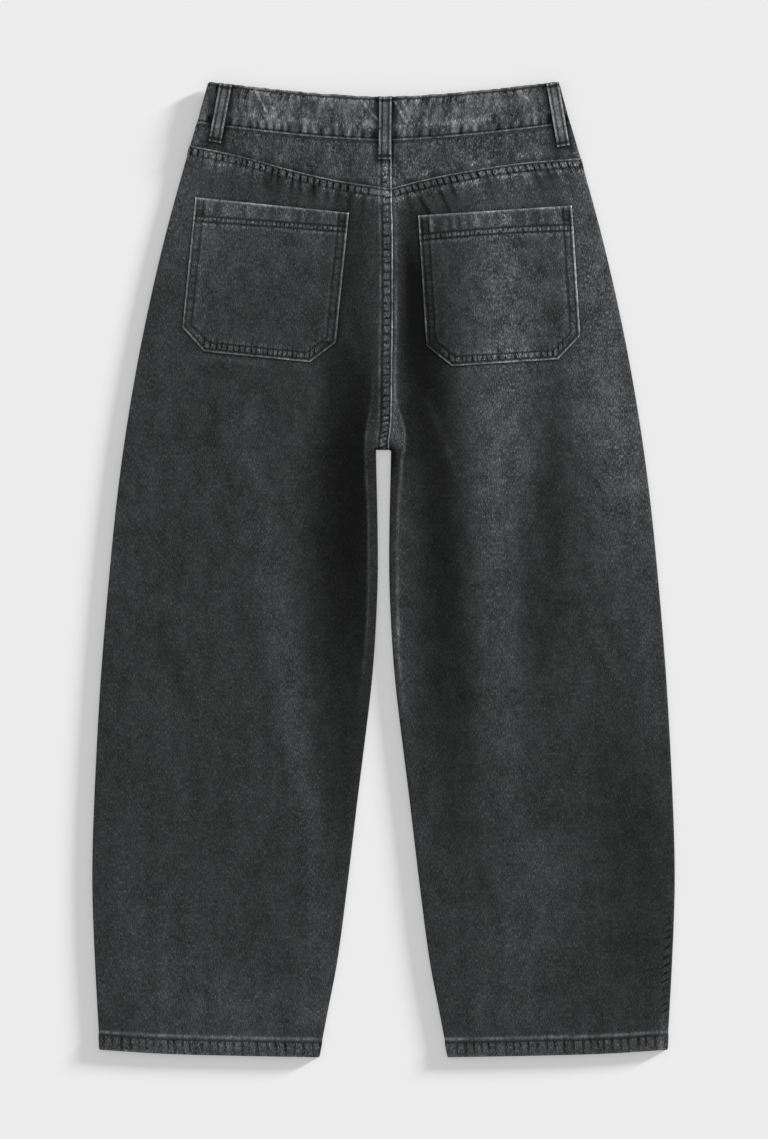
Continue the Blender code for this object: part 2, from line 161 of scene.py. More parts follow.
# %% [markdown]
# ## Shapes of the pattern pieces
#
# A pattern cutter draws each edge as a smooth line through a few measured points. The same
# short tables shape the plain model, so the fine cloth fits over it. `smooth_curve` turns
# such a table into a function that works on whole arrays of points at once.

# %% Smooth lines through a few points
def smooth_curve(rows):
    """A function of place that runs smoothly through (place, value) rows in rising order."""
    places, values = np.array(rows, float).T
    low = np.maximum(np.arange(len(rows)) - 1, 0)
    high = np.minimum(np.arange(len(rows)) + 1, len(rows) - 1)
    slopes = (values[high] - values[low]) / (places[high] - places[low])

    def at(place):
        place = np.clip(place, places[0], places[-1])
        k = np.clip(np.searchsorted(places, place, side="right") - 1, 0, len(rows) - 2)
        span = places[k + 1] - places[k]
        t = (place - places[k]) / span
        return (
            values[k] * (2 * t**3 - 3 * t**2 + 1)
            + values[k + 1] * (3 * t**2 - 2 * t**3)
            + slopes[k] * span * (t**3 - 2 * t**2 + t)
            + slopes[k + 1] * span * (t**3 - t**2)
        )

    return at


def ease(share):
    """0 to 1 with a soft start and end."""
    share = np.clip(share, 0.0, 1.0)
    return share * share * (3 - 2 * share)


def hill(distance, width):
    """1 at no distance, and falling away smoothly over the width."""
    return np.exp(-((distance / width) ** 2))


def tail_off(distance, start, length):
    """1 up to the start, and fading away over the length beyond it."""
    return np.exp(-np.maximum(distance - start, 0) / length)


outer_half = smooth_curve([
    # level y, half width to the outer edge
    (-488.0, 283.2), (-391.0, 288.6), (-311.0, 291.2), (-231.0, 289.2), (-111.0, 282.8),
    (9.0, 272.8), (89.0, 264.2), (169.0, 252.5), (249.0, 237.5), (329.0, 219.2),
    (409.0, 197.5), (449.0, 185.8), (487.5, 175.5),
])
inner_half = smooth_curve([
    # level y, half the gap between the legs
    (-488.0, 64.5), (-440.0, 55.3), (-391.0, 46.0), (-311.0, 35.5), (-231.0, 26.0),
    (-171.0, 18.5), (-111.0, 11.5), (-51.0, 7.3), (9.0, 5.6), (119.0, 7.5),
])
hem_line = smooth_curve([
    # distance from the middle, level y
    (64.5, -488.0), (138.0, -486.7), (220.0, -484.5), (283.5, -480.5),
])
yoke_left_line = smooth_curve([
    (-200.0, 424.7), (-140.0, 411.9), (-90.0, 398.2), (-42.0, 387.5), (7.0, 380.2),
])
yoke_right_line = smooth_curve([
    (7.0, 380.2), (32.0, 387.0), (75.0, 396.2), (135.0, 405.5), (200.0, 410.8),
])
centre_seam = smooth_curve([
    # level y, x of the folded edge of the centre seam, which pulls a little to and fro
    (119.0, 5.4), (128.0, 5.8), (136.0, 6.8), (148.0, 8.0), (180.0, 8.6), (206.0, 8.7),
    (240.0, 9.3), (320.0, 9.4), (350.0, 9.0), (380.0, 8.3), (430.0, 8.0),
])
CROTCH, YOKE_POINT, FRONT_SEAM = 119.0, 7.0, 1.5
SIDES = {-1: "left", 1: "right"}
print("leg width at the hem:", round(float(outer_half(-487) - inner_half(-487)), 1), "mm")


# %% The waist, and the heights at which the cloth lies
WALL, BAND_WALL, SEAM_GAP, FOLD_RADIUS = 1.2, 2.0, 0.3, 3.4
FELL_WIDTH, FELL_RISE = 9.5, 0.6
WAIST_HALF, TOP_HALF = 186.0, 175.5
RAMP, BULGE_WIDTH = 70.0, 80.0


def hem_y(x):
    return hem_line(np.abs(x))


def yoke_y(x):
    return np.where(x < YOKE_POINT, yoke_left_line(x), yoke_right_line(x))


def seam_y(x):
    """Level of the seam between the yoke and the waistband."""
    return 427.7 + 17.8 * np.minimum(np.abs(x) / WAIST_HALF, 1.0) ** 1.5


def top_y(x):
    """Level of the waistband's top edge at the back."""
    return 472.2 + 15.3 * np.minimum(np.abs(x) / TOP_HALF, 1.0) ** 1.5


def front_dip(x):
    """How much lower the front of the waist lies."""
    return 18.0 * (1 - np.minimum(np.abs(x) / WAIST_HALF, 1.0) ** 2)


def waist_lift(x):
    """Height of the underside of the waistband, which lies on the belt loops and the button."""
    return 1.9 + 0.9 * hill(x, 50.0)


def front_lift(x, y):
    """Height of the underside of the front: flat but for a ramp up to the waistband."""
    ramp = ease((y - seam_y(x) + front_dip(x)) / RAMP + 1)
    return (waist_lift(x) + (BAND_WALL - WALL) / 2) * ramp


print("waist laid flat:", round(2 * float(outer_half(480)), 1), "mm")

# %% [markdown]
# Cloth that is folded over at a side seam turns down in a small quarter circle. To know how
# far the turn has gone at a point, the distance from the nearest outline edge is needed,
# and the direction away from that edge.

# %% Distance from the outline
def edge_distance(x, y):
    side = np.where(x < 0, -1.0, 1.0)
    tilt = (outer_half(y + 1) - outer_half(y - 1)) / 2
    slant = np.hypot(1, tilt)
    outer = (outer_half(y) - np.abs(x)) / slant
    across = np.maximum(np.abs(x) - inner_half(CROTCH), 0)
    reach = np.maximum(np.hypot(across, y - CROTCH), 1e-6)
    below = y < CROTCH
    inner = np.where(below, np.abs(x) - inner_half(y), reach)
    away_x = np.where(inner < outer, np.where(below, side, side * across / reach), -side / slant)
    away_y = np.where(inner < outer, np.where(below, 0, (y - CROTCH) / reach), tilt / slant)
    return np.maximum(np.minimum(inner, outer), 0), away_x, away_y


def nearest_on(spine, x, y):
    """Distance of points from a broken line, which side they are on, and the line's own values."""
    spine = np.array(spine, float)
    nearest = np.full(np.shape(x), np.inf)
    side = np.zeros(np.shape(x))
    values = np.zeros((*np.shape(x), spine.shape[1] - 2))
    for start, end in zip(spine[:-1], spine[1:]):
        step = end[:2] - start[:2]
        share = np.clip(((x - start[0]) * step[0] + (y - start[1]) * step[1]) / (step @ step), 0, 1)
        dx, dy = x - start[0] - share * step[0], y - start[1] - share * step[1]
        closer = np.hypot(dx, dy) < nearest
        nearest = np.where(closer, np.hypot(dx, dy), nearest)
        side = np.where(closer, np.sign(step[0] * dy - step[1] * dx), side)
        own = start[2:] + share[..., None] * (end - start)[2:]
        values = np.where(closer[..., None], own, values)
    return nearest, side, values


# %% [markdown]
# ## Broad folds and the wash
#
# Stone washing leaves denim lighter where it was rubbed. The hollows of the folds are darker,
# partly from the wash and partly as painted shade. Both follow the same lines on the leg, so
# each line is written once, as a spine of points with a half width and a strength.
# `wash_and_fold_shade` adds the strengths to a dark grey. Tones are on the screen's scale of
# 0 to 255, because that is what the eye compares.

# %% Folds that shape the cloth
FOLDS = [
    # each point: x, y, half width, height
    [(-140, 150, 45, 0.5), (-60, -230, 45, 0.6)],
    [(-38, 300, 20, -0.3), (-32, 120, 34, -1.1), (-34, -110, 36, -0.8), (-42, -230, 25, -0.1)],
    [(-205, -150, 50, 0.3), (-175, -400, 50, 0.5)],
    [(-24, 345, 22, 0.4), (-28, 215, 18, 0.3)],
    [(30, 330, 18, -0.6), (41, 220, 24, -1.1), (50, 60, 32, -0.8), (62, -110, 32, -0.3)],
    [(125, 260, 60, 0.4), (115, 60, 50, 0.6), (122, -160, 40, 0.4)],
    [(245, -200, 38, -0.4), (250, -380, 42, -0.8)],
    [(130, -250, 45, 0.4), (150, -430, 45, 0.4)],
]


def spread(spine, x, y):
    """A soft bank along a spine: its strength at each point, fading out at the half width."""
    distance, _, values = nearest_on(spine, x, y)
    return values[..., 1] * np.clip(1 - (distance / values[..., 0]) ** 2, 0, 1) ** 2


def crown(x, y, distance):
    """Fullness of the back over the flat front."""
    at_waist = ease((y - yoke_y(x) + RAMP) / RAMP)
    folds = sum(spread(spine, x, y) for spine in FOLDS)
    bulge = hill(x, BULGE_WIDTH)
    return ((0.5 + folds) * (1 - at_waist) + bulge * at_waist) * ease(distance / 30.0)


def back_surface(x, y):
    """Outside of the back before its seams: height, and the normal's three parts."""
    distance, away_x, away_y = edge_distance(x, y)
    turned = np.arccos(1 - np.minimum(distance / FOLD_RADIUS, 1.0))
    level = front_lift(x, y) + WALL + SEAM_GAP
    height = level + FOLD_RADIUS * np.sin(turned) + crown(x, y, distance)
    flat = np.cos(turned)
    return height, np.stack([-away_x * flat, -away_y * flat, np.sin(turned)], axis=-1)


# %% Tones that the wash left, with painted shade in the fold hollows
WASH_BASE = 50.2
WASH_AND_FOLD_SHADE = {
    "left thigh rubbed": [
        (-142, 150, 28, 7), (-122, 50, 26, 6), (-104, -60, 28, 9), (-90, -150, 30, 10),
        (-76, -220, 26, 8), (-66, -330, 30, 6), (-60, -440, 34, 8),
    ],
    # Painted shade, with some wash, in the hollow of the left leg
    "left hollow, wash and painted shade": [
        (-36, 385, 22, -10), (-38, 330, 26, -13), (-36, 255, 34, -12), (-30, 205, 44, -18),
        (-26, 155, 54, -27), (-30, 105, 62, -31), (-32, 30, 66, -30), (-33, -45, 62, -24),
        (-34, -120, 58, -15), (-40, -195, 44, -12), (-50, -300, 30, -3),
    ],
    "left seat": [(-200, 400, 60, 10), (-205, 255, 60, 4), (-250, 160, 60, 3), (-275, 0, 40, 3)],
    "left pocket top": [(-180, 340, 90, 6), (-70, 340, 60, 6)],
    "left low leg": [(-250, -320, 70, 4), (-190, -440, 100, 8), (-90, -450, 60, 7)],
    # Painted shade, with some wash, in the hollow of the right leg
    "right hollow, wash and painted shade": [
        (31, 350, 26, -10), (32, 300, 30, -22), (33, 270, 32, -28), (36, 235, 36, -31),
        (41, 195, 40, -27), (46, 150, 42, -22), (52, 105, 44, -21), (58, 60, 44, -21),
        (62, 20, 44, -21), (62, -45, 44, -19), (64, -120, 44, -13), (66, -195, 40, -9),
        (70, -260, 34, -6),
    ],
    "right thigh rubbed": [
        (116, 400, 62, 16), (120, 300, 58, 22), (124, 230, 60, 24), (120, 150, 60, 20),
        (112, 80, 58, 18), (108, 20, 54, 13), (116, -80, 42, 10), (120, -150, 42, 9),
        (120, -240, 38, 5),
    ],
    "right side rubbed": [
        (195, 400, 50, 22), (212, 300, 70, 23), (222, 205, 80, 22), (236, 130, 84, 21),
        (250, 60, 80, 17), (262, 0, 70, 12), (272, -60, 50, 6), (280, -150, 30, 6),
    ],
    "right stripe": [
        (168, 260, 26, -2), (172, 150, 26, -4), (168, 80, 30, -7), (162, 0, 32, -6),
        (158, -80, 32, -6), (162, -130, 26, -2),
    ],
    # Painted shade, with some wash, in the low hollow of the right leg
    "right low hollow, wash and painted shade": [
        (222, -180, 50, -4), (248, -260, 56, -9), (252, -340, 56, -7), (260, -400, 44, -6),
        (262, -440, 34, -3),
    ],
    "right low leg": [(150, -290, 56, 7), (140, -370, 66, 6), (120, -430, 80, 5)],
}


def wash_and_fold_shade(x, y):
    """Tone of the back's cloth without its seams: the wash, with painted shade in the fold hollows.
    """
    return WASH_BASE + sum(spread(spine, x, y) for spine in WASH_AND_FOLD_SHADE.values())


hollow, thigh = (-30.0, 60.0), (120.0, 230.0)
print("tones in the hollow and on the thigh:", wash_and_fold_shade(*np.transpose([hollow, thigh])))

# %% [markdown]
# ## Seams
#
# Where two layers are sewn together, the thread draws the cloth up and it puckers. The
# ridges are rubbed light in the wash and the furrows between them stay dark. A folded edge
# is rubbed lightest of all. These few functions of the distance across a seam, and the
# place along it, are used for every seam on the jeans. The furrows are narrower than the
# mesh, so the mesh only carries a count that grows along the seam and is whole in the middle
# of each furrow. The material draws the sharp dark furrow wherever the count is near whole.

# %% What a seam looks like across and along
def bump_at(across, middle, width):
    return hill(across - middle, width)


WAVES, FURROWS = 2048, 200


def waver(along, seed, length):
    """Smooth random values from -1 to 1 that change over about the given length."""
    draws = np.random.default_rng(seed).uniform(-1, 1, WAVES)
    place = np.asarray(along, float) / length + WAVES // 2
    k = np.floor(place).astype(int)
    first, last = draws[k % WAVES], draws[(k + 1) % WAVES]
    return first + (last - first) * ease(place - k)


def furrow_count(along, seed, gap):
    """A number that is whole in the middle of every furrow, and how deep the furrows are there."""
    draw = np.random.default_rng(seed)
    middles = np.cumsum(draw.uniform(0.7 * gap, 1.3 * gap, FURROWS)) - FURROWS // 2 * gap
    depths = draw.uniform(0.45, 1.0, FURROWS)
    return np.interp(along, middles, np.arange(FURROWS)), np.interp(along, middles, depths)


def trough(count):
    """0 on the ridges between the furrows, and 1 in the middle of each."""
    return (0.5 + 0.5 * np.cos(2 * math.pi * count)) ** 2


def inside(across, first, last, soft=0.8):
    """1 between two distances, and 0 outside."""
    return ease((across - first) / soft + 0.5) * ease((last - across) / soft + 0.5)


class Cloth:
    """What a stretch of cloth carries, which one seam after another adds to."""

    def __init__(self, tone):
        self.tone = np.array(tone, float)
        self.relief = np.zeros_like(self.tone)
        # The light of worn folded edges, and the darkness of the furrows
        self.edge = np.zeros_like(self.tone)
        self.dark = np.zeros_like(self.tone)
        # Whole in the middle of each furrow, and the seam that the furrows belong to
        self.count = np.full_like(self.tone, 0.5)
        self.seam = np.zeros(self.tone.shape, int)

    def folded_edge(self, across, along, seed, light=40.0, width=0.95, middle=0.25):
        """The rubbed edge of a fold, a little wavy, which rolls down."""
        patchy = 0.85 + 0.35 * waver(along, seed + 1, 24.0)
        wavy = across + 0.3 * waver(along, seed + 2, 3.5)
        self.edge += light * patchy * bump_at(wavy, middle, width)
        self.relief -= 0.5 * bump_at(across, 0.0, 0.45)

    def stitched(self, across, along, seed, dark=15.0, depth=0.22):
        """The groove that a row of stitches pulls into the cloth, at distance 0."""
        wavy = across + 0.25 * waver(along, seed, 4.0)
        uneven = 0.92 + 0.22 * waver(along, seed + 1, 2.2)
        self.tone -= dark * uneven * bump_at(wavy, 0.0, 0.95)
        self.relief -= depth * bump_at(across, 0.0, 0.85)

    def drawn_up(self, weight, region, along, seed, light, dark, gap=7.0):
        """Ridges and furrows over a region, as strong as the weight."""
        count, depth = furrow_count(along, seed, gap)
        self.tone += weight * light
        self.relief += weight * (0.10 - 0.42 * depth * trough(count))
        self.count = np.where(region, count, self.count)
        self.dark = np.where(region, weight * dark * depth, self.dark)
        self.seam = np.where(region, seed, self.seam)

    def puckered(
        self, across, along, seed, first, last, light, dark, beyond=0.6, tail=4.0, gap=7.0
    ):
        """Ridges and furrows across the band between two rows, fading out beyond the last."""
        fading = beyond * tail_off(across, last, tail) * ease(across - last)
        weight = inside(across, first, last) + fading
        region = (across > -4.0) & (across < last + 3.0 * tail)
        self.drawn_up(weight, region, along, seed, light, dark, gap)


# %% [markdown]
# ## Denim as a material
#
# Denim is a twill: its surface is a fine diagonal rib of dark warp threads with light weft
# between. Black denim that was stone washed is a soft grey with lighter slubs that run
# along the warp. The material reads the tone of each point from the mesh, and adds what is
# too fine for the mesh: slubs, flecks, cloudy patches and the twill itself.
#
# Blender builds a material from nodes. To write them as ordinary sums, the class `Wire`
# wraps a socket: adding two wires adds a Math node.

# %% Shader sums
class Wire:
    """An output socket that Python's arithmetic works on."""

    def __init__(self, socket):
        self.socket = socket

    def node(self, kind, settings=None, inputs=None, output=0):
        return add_node(self.socket.id_data, kind, settings, inputs, output)

    def maths(self, operation, *others):
        values = dict(enumerate([self, *others]))
        return self.node("ShaderNodeMath", {"operation": operation}, values)

    def __add__(self, other):
        return self.maths("ADD", other)

    def __sub__(self, other):
        return self.maths("SUBTRACT", other)

    def __mul__(self, other):
        return self.maths("MULTIPLY", other)

    def __pow__(self, other):
        return self.maths("POWER", other)

    def at_least(self, other):
        return self.maths("MAXIMUM", other)

    def at_most(self, other):
        return self.maths("MINIMUM", other)


def add_node(tree, kind, settings=None, inputs=None, output=0):
    """Adds a node, sets its settings first and then its sockets, and returns one output."""
    node = tree.nodes.new(kind)
    for name, value in (settings or {}).items():
        setattr(node, name, value)
    for name, value in (inputs or {}).items():
        if isinstance(value, Wire):
            tree.links.new(value.socket, node.inputs[name])
        else:
            node.inputs[name].default_value = value
    return Wire(node.outputs[output])


# %% Washed denim
TWILL_PITCH, TWILL_SLANT = 0.9, 0.6
# As shares of full white: where rubbing stops showing more weft, and the blackest dye
MOST_RUBBED, BLACKEST = 0.37, 0.075
SCREEN_GAMMA = 2.2


def washed_denim(name, grain=1.0, mottle=1.0, streak=1.0):
    """Denim with a strength of its grain and of its cloudy spots, and a length of the spots."""
    material, tree, shader = new_material(name, roughness=0.92, gloss=0.12)
    place = add_node(tree, "ShaderNodeUVMap", {"uv_map": "cloth"})
    tone, edge, dark, count = (
        add_node(tree, "ShaderNodeAttribute", {"attribute_name": layer}, output="Fac")
        for layer in ("tone", "edge", "dark", "count")
    )

    def speckle(across, along, detail):
        """Noise from -0.5 to 0.5 whose spots have the given size in millimetres."""
        sized = place.node(
            "ShaderNodeVectorMath",
            {"operation": "MULTIPLY"},
            {0: place, 1: (1000.0 / across, 1000.0 / along, 1.0)},
        )
        noise = place.node(
            "ShaderNodeTexNoise",
            {"noise_dimensions": "2D"},
            {"Vector": sized, "Scale": 1.0, "Detail": detail, "Roughness": 0.6},
        )
        return noise - 0.5

    slubs = speckle(1.0, 5.0, 1.0)
    threads = speckle(0.85, 3.0, 1.5)
    flecks = speckle(0.8, 1.5, 1.0)
    spots = speckle(4.5, 6.5 * streak, 1.0)
    clouds = speckle(15.0, 24.0, 3.0)
    patches = speckle(60.0, 90.0, 2.0)
    across, along = (place.node("ShaderNodeSeparateXYZ", None, {0: place}, axis) for axis in "XY")
    slant = (across + along * TWILL_SLANT) * (1000.0 * 2 * math.pi / TWILL_PITCH)
    rib = slant.maths("SINE")
    # The furrows of a seam, sharp but a little ragged
    ragged = count + threads * 0.16 + flecks * 0.10
    furrow = ragged.node(
        "ShaderNodeMapRange",
        {"interpolation_type": "SMOOTHSTEP"},
        {"Value": ragged.maths("PINGPONG", 0.5), "From Min": 0.24, "From Max": 0.07},
    )
    # Folded edges were rubbed in patches
    worn = edge * (threads * 0.5 + flecks * 0.4 + spots * 0.8 + clouds * 0.5 + 0.97).at_least(0.4)
    # Light cloth was rubbed longest, so its weft shows most
    rubbed = tone.at_most(MOST_RUBBED) ** 3.4 * 31.0 + 0.13
    weft = (threads - 0.05).at_least(0.0)
    speckled = (slubs * 0.30 + threads * 0.46 + flecks * 0.22).at_least(-0.09) + weft * 1.15 - 0.05
    soft = (spots.at_least(-0.1) * 0.26 + clouds * 0.31) * mottle + patches * 0.16
    shown = tone + worn - dark * furrow + speckled * rubbed * grain + soft * rubbed
    shown = shown + rib * 0.03 * tone
    light = shown.at_least(BLACKEST) ** SCREEN_GAMMA * 1.07
    # Faded black is a very little blue
    colour = light.node(
        "ShaderNodeCombineColor",
        None,
        {"Red": light * 0.965, "Green": light, "Blue": light * 1.025},
    )
    tree.links.new(colour.socket, shader.inputs["Base Color"])
    height = rib * 0.03 + threads * 0.10 + slubs * 0.05 + worn * 0.8 - dark * furrow * 1.4
    normal = height.node(
        "ShaderNodeBump", None, {"Strength": 0.5, "Distance": MM, "Height": height}
    )
    tree.links.new(normal.socket, shader.inputs["Normal"])
    return material


denim = washed_denim("washed_black_denim")
even_denim = washed_denim("even_black_denim", grain=0.93, mottle=1.2)
speckled_denim = washed_denim("speckled_black_denim", grain=1.12, mottle=1.45)
mottled_denim = washed_denim("mottled_black_denim", grain=0.7, mottle=1.5, streak=1.8)
smooth_denim = washed_denim("smooth_black_denim", grain=0.45, mottle=0.7, streak=1.5)
print("denim nodes:", len(denim.node_tree.nodes))

# %% [markdown]
# ## Making a piece of cloth
#
# Every piece starts as Blender's own grid of square faces. Each corner of the grid is then
# moved to its place on the garment, faces that fall outside the piece are deleted, and the
# Solidify modifier gives the sheet its thickness. The tones go along as attributes, and
# the position on the cloth as a UV map, so that the weave follows the piece.

# %% From a grid to a piece
FULL_WHITE = 255


def cut_sizes(cloth_place, skipped):
    """Width and length in metres and area in square metres of the cloth before it was sewn."""
    down = cloth_place[1:, 1:] - cloth_place[:-1, :-1]
    up = cloth_place[1:, :-1] - cloth_place[:-1, 1:]
    cells = np.abs(down[..., 0] * up[..., 1] - down[..., 1] * up[..., 0]) / 2
    if skipped is not None:
        cells = cells[~skipped]
    width, length = np.ptp(cloth_place, axis=(0, 1)) * MM
    return (float(width), float(length)), float(cells.sum()) * MM * MM


def settled(seam):
    """True at the corners whose neighbours all carry the furrows of the same seam."""
    same = np.ones(seam.shape, bool)
    for new, old, first, last in (
        (seam[1:], seam[:-1], np.s_[1:, :], np.s_[:-1, :]),
        (seam[:, 1:], seam[:, :-1], np.s_[:, 1:], np.s_[:, :-1]),
    ):
        same[first] &= new == old
        same[last] &= new == old
    return same


def make_cloth(
    name, spots, cloth, cloth_place, wall, skipped=None, facing="up", weave=denim
):
    """spots has a row, a column and x, y, z in millimetres for every corner of the grid."""
    rows, columns = np.array(spots.shape[:2]) - 1
    mesh = bmesh.new()
    bmesh.ops.create_grid(mesh, x_segments=int(columns), y_segments=int(rows), size=1.0)
    if skipped is not None:
        cells = []
        for face in mesh.faces:
            centre = face.calc_center_median()
            i = int((centre.x + 1) / 2 * columns)
            j = int((centre.y + 1) / 2 * rows)
            if skipped[j, i]:
                cells.append(face)
        bmesh.ops.delete(mesh, geom=cells, context="FACES")
    data = bpy.data.meshes.new(name)
    mesh.to_mesh(data)
    mesh.free()
    flat = np.empty(len(data.vertices) * 3)
    data.vertices.foreach_get("co", flat)
    flat = flat.reshape(-1, 3)
    i = np.rint((flat[:, 0] + 1) / 2 * columns).astype(int)
    j = np.rint((flat[:, 1] + 1) / 2 * rows).astype(int)
    data.vertices.foreach_set("co", (spots[j, i] * MM).ravel())
    layers = {
        "tone": cloth.tone / FULL_WHITE,
        "edge": cloth.edge / FULL_WHITE,
        "dark": cloth.dark * settled(cloth.seam) / FULL_WHITE,
        "count": cloth.count,
    }
    for layer, values in layers.items():
        data.attributes.new(layer, "FLOAT", "POINT").data.foreach_set("value", values[j, i])
    corners = np.empty(len(data.loops), int)
    data.loops.foreach_get("vertex_index", corners)
    data.uv_layers.new(name="cloth").data.foreach_set(
        "uv", (cloth_place[j, i][corners] * MM).ravel()
    )
    data.update()
    middle_z = spots[..., 2].mean() * MM
    if facing == "round":
        turned = sum(
            face.normal.z * (face.center.z - middle_z) * face.area for face in data.polygons
        )
    else:
        turned = sum(face.normal.z * face.area for face in data.polygons)
    if turned * (-1 if facing == "down" else 1) < 0:
        data.flip_normals()
    data.shade_smooth()
    data.materials.append(weave)
    piece = link(bpy.data.objects.new(name, data))
    solid = piece.modifiers.new("thickness", "SOLIDIFY")
    solid.thickness = wall * MM
    solid.offset = -1.0
    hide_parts(name.replace("cloth_", ""))
    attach(piece, "root")
    flat, area = cut_sizes(cloth_place, skipped)
    print(name, "cut:", [round(side, 3) for side in flat], "m,", round(area, 4), "square metres")


# %% [markdown]
# ## Legs
#
# One back panel reaches from the yoke seam down to the hem. Its rows follow the seam at the
# top and the hem at the bottom, and its columns follow the inner and the outer edge, close
# together where the cloth turns over or puckers and wider apart in the middle.

# %% Rows and columns of a panel
def steps(*runs):
    """Distances that grow by the given steps: each run is (up to, step)."""
    places = [0.0]
    for last, step in runs:
        count = max(int(round((last - places[-1]) / step)), 1)
        places += list(np.linspace(places[-1], last, count + 1)[1:])
    return np.array(places)


TURN = FOLD_RADIUS * (1 - np.cos(np.radians([0, 12, 25, 38, 52, 66, 78, 90])))


def past_turn(*runs):
    """Distances of the columns round a folded edge and on over the panel."""
    return np.concatenate([TURN, TURN[-1] + steps(*runs)[1:]])


def meet(row_y, edge_x, side):
    """Where a row meets an outline edge."""
    x = float(edge_x(0.0))
    for _ in range(10):
        x = float(edge_x(float(row_y(np.array(side * x)))))
    return side * x


def panel_columns(first, last, near_first, near_last, count):
    """Columns between two edges, with given distances near each, and even steps between."""
    direction = np.sign(last - first)
    start, end = first + direction * near_first[-1], last - direction * near_last[-1]
    middle = np.linspace(start, end, count + 1)[1:-1]
    return np.concatenate([
        first + direction * near_first, middle, (last - direction * near_last)[::-1]
    ])


def leg_rows(top, upper, lower):
    """Rows from the top edge to the crotch and on to the hem: each is a function of x, with
    True above the crotch. Their distances down are given for both parts."""
    above = [(True, lambda x, s=s: top(x) * (1 - s) + CROTCH * s) for s in upper / upper[-1]]
    below = [
        (False, lambda x, s=s: CROTCH * (1 - s) + hem_y(x) * s) for s in lower[1:] / lower[-1]
    ]
    return above + below


def grid_corners(rows, columns_of):
    """x and y of every corner, from the rows and a function that gives each row's columns."""
    columns = [columns_of(*row) for row in rows]
    return np.array(columns), np.array([row[-1](x) for row, x in zip(rows, columns)])


# %% [markdown]
# The creases beside the crotch are where the inseam rolls from under the leg onto the back.
# Each is a rubbed line, and the strip between it and the inner edge is lighter than the
# deep hollow beside it.

# %% Creases beside the crotch
LEFT_CREASE = [
    # x, y, tone of the strip inside the crease, light of the crease itself
    (-11.5, 214, 43, 0), (-11.8, 172, 45, 10), (-14.5, 155, 47, 16), (-17.0, 145, 49, 18),
    (-18.2, 131, 51, 20), (-18.6, 117, 43, 18), (-18.4, 103, 41, 20), (-16.9, 79, 42, 20),
    (-15.6, 52, 46, 22), (-15.4, 20, 46, 20), (-15.6, -20, 46, 20), (-17.0, -60, 46, 18),
    (-20.0, -95, 43, 12), (-26.0, -150, 41, 0),
]
RIGHT_CREASE = [
    (9.8, 205, 44, 10), (10.6, 188, 46, 20), (11.6, 175, 54, 24), (15.0, 162, 64, 20),
    (17.0, 155, 68, 18), (19.2, 147, 70, 20), (21.4, 140, 72, 20), (22.0, 131, 78, 20),
    (21.4, 122, 60, 26), (19.5, 115, 46, 34), (18.2, 107, 44, 36), (17.4, 92, 44, 34),
    (15.4, 74, 45, 30), (14.2, 52, 49, 22), (13.6, 25, 49, 18), (13.7, 0, 49, 24),
    (13.8, -30, 53, 26), (14.6, -62, 59, 26), (15.8, -90, 61, 24), (20.0, -140, 61, 8),
]


def crease_strips(cloth, x, y):
    """The rolled inseam on each side of the crotch, which the centre seam covers above it."""
    above = y > CROTCH
    for spine, side in ((LEFT_CREASE, -1), (RIGHT_CREASE, 1)):
        distance, across, values = nearest_on(spine, x, y)
        beside = (x < centre_seam(y) - 11.0) if side < 0 else (x > centre_seam(y) + 0.1)
        fade = ease((y + 165) / 60) * ease((216 - y) / 30) * np.where(above, beside, x * side > 0)
        inward = -side * distance * across
        within = ease(inward / 1.4 + 0.4) * fade * (distance < 26)
        cloth.tone += (values[..., 0] - cloth.tone) * within * 0.9
        uneven = 0.85 + 0.25 * waver(y, 35 + side, 7.0)
        width = 1.2 + 0.35 * ease((125 - y) / 15)
        cloth.edge += 1.15 * values[..., 1] * uneven * fade * bump_at(inward, 0.1, width)
        outside = tail_off(-inward, 0.0, 9.0) * (inward < 0)
        cloth.tone += 15.0 * (side > 0) * outside * fade * ease((118 - y) / 30)
        cloth.relief += 0.45 * bump_at(inward, 0.8, 1.7) * fade


# %% [markdown]
# Each patch pocket is turned a little, so its own coordinates are worked out first: u runs
# across from its middle, and v runs down from its mouth. The back panels need them as well,
# for the painted shadow that darkens the cloth close beside a pocket.

# %% Places on a pocket
POCKET_WIDTH, POCKET_DEPTH = 154.2, 152.6
POCKET_HALF = POCKET_WIDTH / 2
POCKET_CORNER = (24.0, 22.0)
POCKET_SLANT = math.hypot(*POCKET_CORNER)
POCKETS = {
    # x and y of the middle of the mouth, turn in degrees
    "pocket_left": (-111.2, 363.7, -5.8),
    "pocket_right": (111.4, 358.3, 3.7),
}


def pocket_edge(u, v):
    """Distance from the sewn edge of a pocket: its sides, slanted corners and bottom."""
    corner_x, corner_y = POCKET_CORNER
    from_side = POCKET_HALF - np.abs(u)
    from_bottom = POCKET_DEPTH - v
    from_corner = from_side * corner_y + from_bottom * corner_x - corner_x * corner_y
    from_corner = from_corner / POCKET_SLANT
    return np.minimum(np.minimum(from_side, from_bottom), from_corner)


def pocket_place(name):
    """The middle of a pocket's mouth, and the cosine and sine of its turn."""
    mouth_x, mouth_y, turn = POCKETS[name]
    return mouth_x, mouth_y, math.cos(math.radians(turn)), math.sin(math.radians(turn))


def on_pocket(name, x, y):
    """u and v of a point of the back."""
    mouth_x, mouth_y, cosine, sine = pocket_place(name)
    u = (x - mouth_x) * cosine + (y - mouth_y) * sine
    v = (x - mouth_x) * sine - (y - mouth_y) * cosine
    return u, v


def from_pocket(name, u, v):
    """x and y of a point of the pocket."""
    mouth_x, mouth_y, cosine, sine = pocket_place(name)
    return mouth_x + u * cosine + v * sine, mouth_y + u * sine - v * cosine


# %% Seams of the back
ROW_1, ROW_2 = 2.3, 8.8
CENTRE_ROW_1, CENTRE_ROW_2 = 2.2, 9.8
HEM_ROW, HEM_FOLD = 14.6, 15.2
# A distance at which no seam shows
FAR = 99.0


